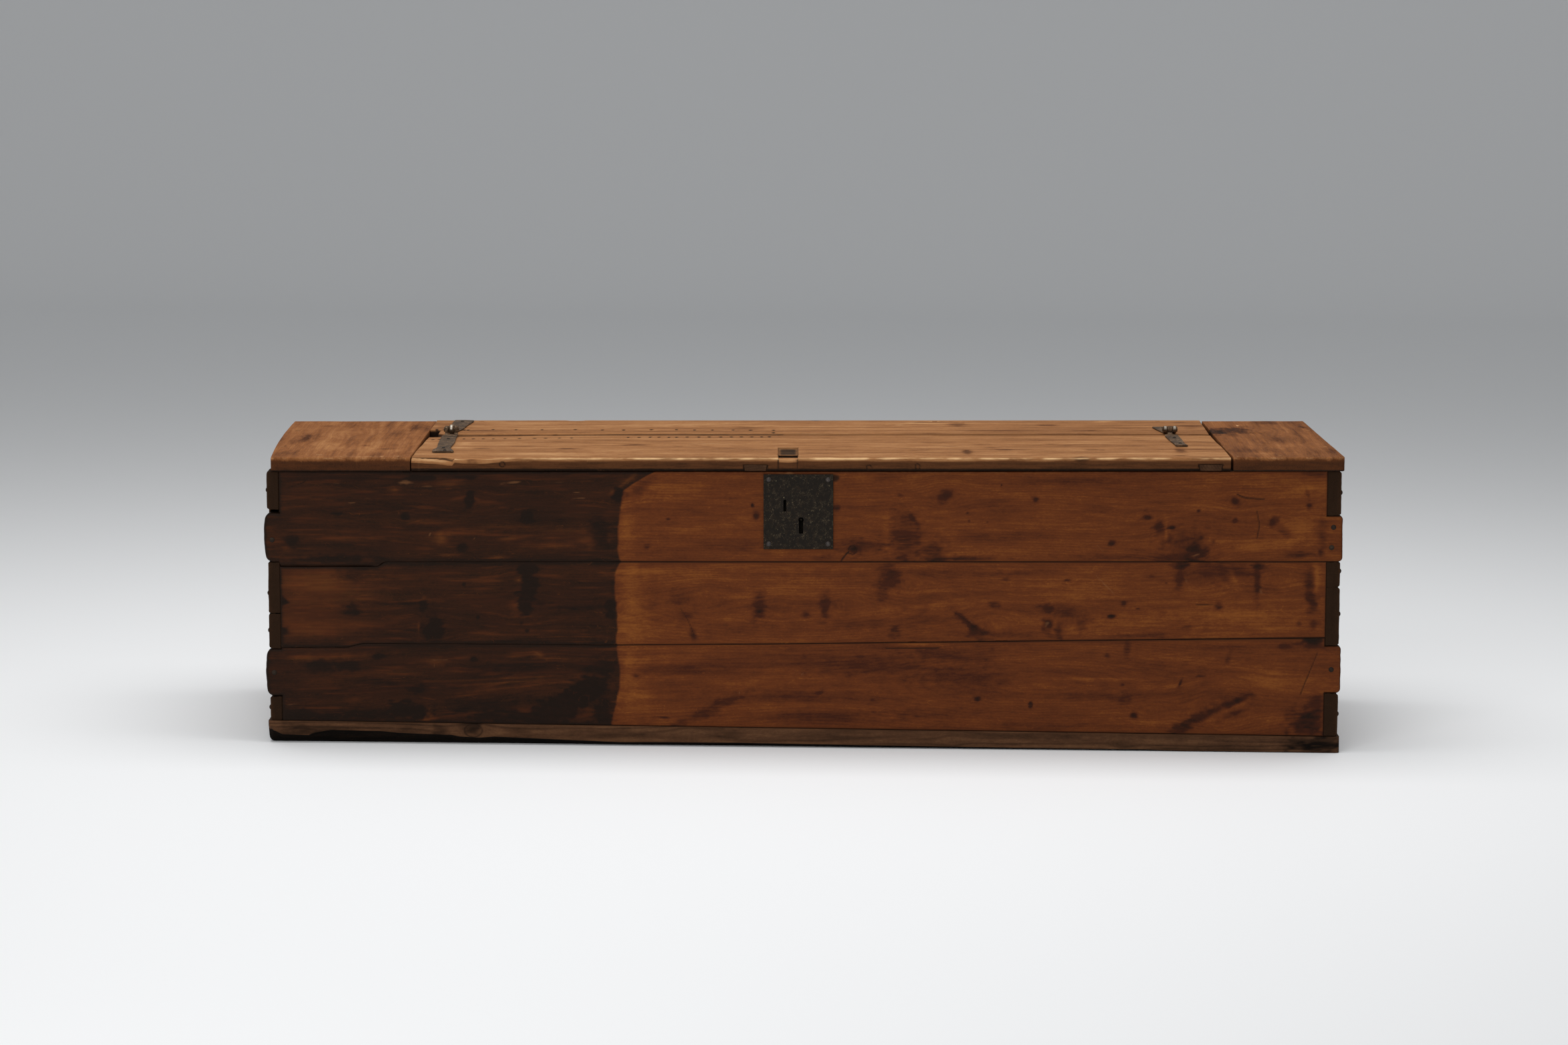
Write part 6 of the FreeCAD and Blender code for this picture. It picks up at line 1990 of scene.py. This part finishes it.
@dataclass
class HingePlate:
    """One half of a strap hinge: a forged plate whose tongues curl round the pin.

    Stations give the plate's share of reach and its left and right edges, from the
    middle of the hinge.
    """

    side: str
    middle: float
    foot: float
    end: float
    rearward: bool
    stations: Rows
    tongues: Rows
    radius: float
    tongue_thick: float
    seed: int
    # strength and half width of a painted highlight along the top of each roll
    worn: Corner = (0.0, 9.0)
    groove: float = 0.0
    thick: float = 3.0
    pin: Corner = (55.5, 525.0)
    root: float = 8.0
    overlap: float = 7.0
    arris: float = 0.42
    hammering: float = 0.32
    raggedness: float = 0.35
    plate_corners: int = 17
    tongue_corners: int = 13

    def _strip(self, path: Array, low: Array, high: Array, thick: float, wide: int) -> Array:
        """A bar of flat section with round arrises, carried along a path.

        Formula: across the bar, half its thickness is T/2 sqrt(1 - (1 - d)^2), with d
        the distance to the nearer edge in units of the arris, at most 1; it stands off
        the path square to it.

        Args:
            path: y and z of the middle of each section.
            low: the left edge at each section.
            high: the right edge at each section.
            thick: full thickness.
            wide: corners across one side of the bar.

        Returns:
            The corners, ring after ring.
        """
        step = np.gradient(path, axis=0)
        step /= np.hypot(*step.T)[:, None]
        share = 0.5 - 0.5 * np.cos(np.linspace(0, math.pi, wide))
        share = np.concatenate([share, share[-2:0:-1]])
        upper = np.concatenate([np.ones(wide), -np.ones(wide - 2)])
        x = low[:, None] + (high - low)[:, None] * share
        gap = np.minimum(x - low[:, None], high[:, None] - x) / (thick * self.arris)
        half = thick / 2 * np.sqrt(1 - (1 - np.clip(gap, 0, 1)) ** 2) * upper
        y = path[:, :1] - step[:, 1:] * half
        z = path[:, 1:] + step[:, :1] * half
        hammer = self.hammering * layered_noise(self.seed, x / 9, y / 12, 2)
        return np.stack([x + self.middle, y, z + hammer], -1).reshape(-1, 3)

    def build(self) -> None:
        """Forge the plate and its tongues.

        Formula: the plate's path runs level on the wood; a tongue's path leaves it
        inside the plate, climbs by 3t^2 - 2t^3 to the foot of the roll, and follows a
        circle round the pin.
        """
        way = -1.0 if self.rearward else 1.0
        pin_y, pin_z = self.pin[0] * way, self.pin[1]
        root, end = pin_y - self.root, self.end * way
        core = self.foot + self.thick / 2
        shares, lows, highs = np.array(self.stations).T
        share = np.linspace(1, 0, 90)
        y = root + (end - root) * share
        low, high = (np.interp(share, shares, edge) for edge in (lows, highs))
        ragged = self.raggedness * layered_noise(self.seed + 5, y / 14, y * 0)
        level = np.full_like(y, core)
        if self.groove:
            level += 0.5 * smooth_step(share, self.groove, self.groove + 0.05)
        shells = [self._strip(np.stack([y, level], -1), low - ragged, high + ragged,
                              self.thick, self.plate_corners)]
        mean = self.radius - self.tongue_thick / 2
        climb = np.linspace(0, 1, 12)
        turn = np.radians(np.linspace(-84, 222, 46))
        y = np.concatenate([root - self.overlap + (self.root + self.overlap) * climb,
                            pin_y + mean * np.cos(turn)])
        z = np.concatenate([core + (pin_z - mean - core) * smooth_step(climb, 0.15, 1.0),
                            pin_z + mean * np.sin(turn)])
        for left, width in self.tongues:
            side = np.full_like(y, left)
            shells.append(self._strip(np.stack([y, z], -1), side, side + width,
                                      self.tongue_thick, self.tongue_corners))
        faces, worn, total = [], [], 0
        # A stripe along the top of each roll is a painted highlight, carried in the mesh's worn.
        strength, half = self.worn
        for number, corners in enumerate(shells):
            around = 2 * (self.tongue_corners if number else self.plate_corners) - 2
            faces += tube_faces(len(corners) // around, around, self.rearward, total)
            total += len(corners)
            x = corners[:, 0] - (corners[:, 0].min() + corners[:, 0].max()) / 2
            bare_metal_glint = (np.abs(x) < half) * smooth_step(corners[:, 2], pin_z - 1.0, pin_z + 2.5)
            worn.append(strength * bare_metal_glint * (number > 0))
        part, body = ("leaf", "case") if self.rearward else ("strap", "lid")
        piece = Piece(f"{self.side}_{part}_iron", f"{self.side}_hinge_{part}", body,
                      "hinge_iron")
        x, y, z = np.concatenate(shells).T
        piece.make((x, y * way, z), faces, {"worn": np.concatenate(worn)},
                   np.array([len(face) == 4 for face in faces]), FINISHES.strap.material())


@dataclass
class Hinges:
    """Both strap hinges: the straps ride on the lid and the leaves on the case."""

    left: float = -640.0
    right: float = 666.0
    lid_top: float = 514.5
    rear_top: float = 516.5

    def build(self) -> None:
        """Forge all four plates."""
        outer = ((-11.9, 7.0), (4.9, 7.0))
        eye = ((-4.5, 9.0),)
        # The leaves' worn stripes are painted highlights on their rolls.
        for plate in (
            HingePlate(
                "left", self.left, self.lid_top, -212.5, False,
                ((0.0, -12.5, 12.5), (0.06, -14.0, 12.0), (0.14, -15.3, 12.4),
                 (0.3, -14.5, 14.0), (0.43, -13.6, 15.7), (0.56, -12.3, 15.2),
                 (0.68, -10.9, 14.6), (0.78, -9.8, 15.0), (0.84, -11.2, 17.0),
                 (0.885, -14.4, 20.0), (0.95, -14.3, 23.3), (1.0, -12.0, 25.0)),
                outer, 7.0, 3.4, 701),
            HingePlate(
                "left", self.left, self.rear_top, 258.5, True,
                ((0.0, -4.5, 4.5), (0.12, -8.0, 9.0), (0.26, -9.0, 15.0), (0.4, -9.6, 17.0),
                 (0.53, -10.4, 18.6), (0.67, -11.0, 20.6), (0.8, -11.0, 23.2),
                 (0.9, -10.8, 25.0), (0.97, -10.5, 26.5), (1.0, -9.5, 12.0)),
                eye, 8.5, 4.8, 711, worn=(0.7, 1.7)),
            HingePlate(
                "right", self.right, self.lid_top, -125.5, False,
                ((0.0, -4.5, 4.5), (0.05, -10.3, 11.5), (0.12, -11.3, 13.3),
                 (0.3, -10.5, 14.0), (0.48, -9.0, 14.0), (0.68, -7.0, 13.8),
                 (0.83, -5.6, 14.0), (0.93, -5.2, 15.3), (1.0, -6.0, 16.3)),
                eye, 6.0, 2.8, 721, groove=0.86),
            HingePlate(
                "right", self.right, self.rear_top, 147.5, True,
                ((0.0, -11.5, 11.5), (0.1, -13.0, 11.2), (0.37, -16.4, 14.5),
                 (0.57, -19.0, 16.0), (0.78, -21.5, 18.5), (0.93, -23.8, 21.0),
                 (1.0, -24.0, 21.0)),
                outer, 6.0, 2.8, 731, worn=(0.35, 1.9)),
        ):
            plate.build()


@dataclass
class BaseNails:
    """Nails driven up through the base boards, with heads that meet the boards."""

    shares: tuple[float, ...] = (-0.9, -0.45, 0.0, 0.45, 0.9)
    half_length: float = 938.0
    wall_middle: float = 262.0
    ends: Corner = (-927.5, 925.5)
    end_place: float = 83.3
    around: int = 12
    profile: Rows = ((3.0, 0.1), (4.4, 0.5), (4.5, 1.3), (3.2, 2.3), (2.0, 2.6), (1.9, 20.0),
                     (1.4, 55.0))
    length: float = 70.0

    def build(self) -> None:
        """Turn one nail's profile and set a copy at each place.

        Formula: a profile of radius and height carried round the nail's middle; the
        front nails' heads stay behind the bark side.
        """
        radius, height = np.array(self.profile).T
        step = np.arange(self.around)
        turn = step * (2 * math.pi / self.around)
        ring = np.stack([np.outer(radius, np.cos(turn)), np.outer(radius, np.sin(turn)),
                         np.outer(height, np.ones(self.around))], -1).reshape(-1, 3)
        nail = np.concatenate([ring, [[0.0, 0.0, 0.0], [0.0, 0.0, self.length]]])
        following, pole = np.roll(step, -1), np.full_like(step, len(ring))
        last = step + len(ring) - self.around
        quads = np.array(tube_faces(len(radius), self.around, False)[:-2])
        fans = np.concatenate([np.stack([pole, following, step], -1),
                               np.stack([pole + 1, last, np.roll(last, -1)], -1)])
        places = [(self.half_length * share, side * self.wall_middle)
                  for share in self.shares for side in (-1, 1)]
        places += [(x, side * self.end_place) for x in self.ends for side in (-1, 1)]
        x, y = np.array(places).T
        x = x - CASE.shift
        spots = np.stack([x, y, CASE.floor(x) + wane_height(x) * (y < 0) + 0.05], -1)
        points = (spots[:, None] + nail).reshape(-1, 3)
        faces = []
        for start in range(0, len(points), len(nail)):
            faces += (quads + start).tolist() + (fans + start).tolist()
        piece = Piece("base_board_nails", "base_nails", "case", "nail_iron")
        piece.make(points.T, faces, {"worn": np.zeros(len(points))},
                   np.array([len(face) == 4 for face in faces]), FINISHES.nail.material())


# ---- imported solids

@dataclass
class Solids:
    """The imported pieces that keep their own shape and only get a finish."""

    nodes: dict[str, bpy.types.Object]
    hinge_iron: tuple[str, ...] = ("left_hinge_pin", "right_hinge_pin")
    plate_iron: tuple[str, ...] = (
        "hinge_strap_nails", "hinge_leaf_nails", "lock_plate", "lock_bolt", "bolt_guide_tip",
        "bolt_guide_tail", "bolt_spring", "key_pin", "lock_cover")
    studs: tuple[str, ...] = ("lock_plate_nails", "lock_cover_nails")
    nails: tuple[str, ...] = (
        "front_nails", "rear_nails", "left_nails", "right_nails")
    battens: tuple[str, ...] = (
        "lid_batten_left", "lid_batten_middle", "lid_batten_right")

    def dress(self) -> None:
        """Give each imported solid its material."""
        for names, material in (
            (self.hinge_iron, FINISHES.strap.material()),
            (self.plate_iron, FINISHES.plate.material()),
            (self.studs, FINISHES.stud.material()),
            (self.nails, FINISHES.nail.material()),
            (self.battens, FINISHES.batten.material(Source.SOLID_DEPTH)),
            (("base_board_middle",), FINISHES.base.material(Source.SOLID)),
            (("top_board_pegs",), FINISHES.top.material(Source.SOLID)),
        ):
            for name in names:
                self.nodes[name].data.materials.clear()
                self.nodes[name].data.materials.append(material)
                LOG.info("%s: dressed with %s", name, material.name)


# ---- studio

@dataclass
class Studio:
    """Pale floor, soft light, and the camera."""

    place: Place = (-0.0311, -7.5742, 1.4040)
    pitch: float = 0.1368
    roll: float = 0.0101
    focal: float = 6336.0
    image_width: float = 2353.0
    sensor: float = 36.0
    floor_colour: Colour = (0.925, 0.93, 0.935)
    sky_colour: Colour = (0.96, 0.98, 1.0)
    sky_strength: float = 0.30
    bend: float = 2.0
    wall: float = 8.4
    half: float = 14.0
    height: float = 9.0
    aim: Place = (0.0, 0.0, 0.3)
    lamps: tuple[tuple[str, Place, Corner, float], ...] = (
        ("overhead", (0.0, 0.0, 3.4), (4.5, 2.4), 95.0),
        ("front_fill", (-1.2, -4.5, 2.6), (3.0, 2.0), 75.0))

    def camera(self) -> None:
        """Set up the camera: pitch looks down, roll leans it to one side."""
        data = bpy.data.cameras.new("camera")
        data.sensor_width = self.sensor
        data.lens = self.focal / self.image_width * self.sensor
        data.clip_end = 100.0
        ahead = Vector((0.0, math.cos(self.pitch), -math.sin(self.pitch)))
        level = Vector((1.0, 0.0, 0.0))
        above = level.cross(ahead)
        right = level * math.cos(self.roll) + above * math.sin(self.roll)
        up = above * math.cos(self.roll) - level * math.sin(self.roll)
        turn = Matrix((right, up, -ahead)).transposed().to_4x4()
        camera = bpy.data.objects.new("camera", data)
        camera.matrix_world = Matrix.Translation(self.place) @ turn
        bpy.context.scene.collection.objects.link(camera)
        bpy.context.scene.camera = camera

    def hang_lamps(self) -> None:
        """Hang soft rectangular lamps that look at the coffer."""
        for name, place, size, power in self.lamps:
            data = bpy.data.lights.new(name, "AREA")
            data.shape = "RECTANGLE"
            data.size, data.size_y = size
            data.energy = power
            lamp = bpy.data.objects.new(name, data)
            turn = (Vector(self.aim) - Vector(place)).to_track_quat("-Z", "Y")
            lamp.matrix_world = Matrix.Translation(place) @ turn.to_matrix().to_4x4()
            bpy.context.scene.collection.objects.link(lamp)

    def build(self) -> None:
        """Lay the floor, light the set and place the camera.

        Formula: the floor runs back flat, then bends up through a quarter circle into
        a wall.
        """
        scene = bpy.context.scene
        scene.view_settings.view_transform = "Standard"
        turn = np.linspace(0, math.pi / 2, 25)
        y = np.concatenate([[-self.half], self.wall + self.bend * np.sin(turn),
                            [self.wall + self.bend]])
        z = np.concatenate([[0.0], self.bend - self.bend * np.cos(turn), [self.height]])
        x = np.array([[-self.half], [self.half]])
        points = np.stack(np.broadcast_arrays(x, y, z), -1).reshape(-1, 3)
        near = np.arange(len(y) - 1)
        far = near + len(y)
        mesh = bpy.data.meshes.new("floor")
        mesh.from_pydata(points.tolist(), [],
                         np.stack([near, far, far + 1, near + 1], -1).tolist())
        mesh.polygons.foreach_set("use_smooth", np.ones(len(near), bool))
        paint = Shader("floor_paint")
        mesh.materials.append(paint.finish(self.floor_colour, 0.7, Specular_IOR_Level=0.1))
        floor = bpy.data.objects.new("floor", mesh)
        scene.collection.objects.link(floor)
        scene.world = bpy.data.worlds.new("studio")
        scene.world.use_nodes = True
        background = scene.world.node_tree.nodes["Background"]
        background.inputs["Color"].default_value = (*self.sky_colour, 1.0)
        background.inputs["Strength"].default_value = self.sky_strength
        self.hang_lamps()
        self.camera()


def main() -> None:
    """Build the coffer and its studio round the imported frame."""
    logging.basicConfig(level=logging.INFO, format="%(name)s: %(message)s")
    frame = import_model()
    for assembly in (Walls(), Sides(), Base(), Top(), Hinges(), BaseNails()):
        assembly.build()
    Solids(frame["nodes"]).dress()
    Studio().build()


if __name__ == "__main__":
    main()
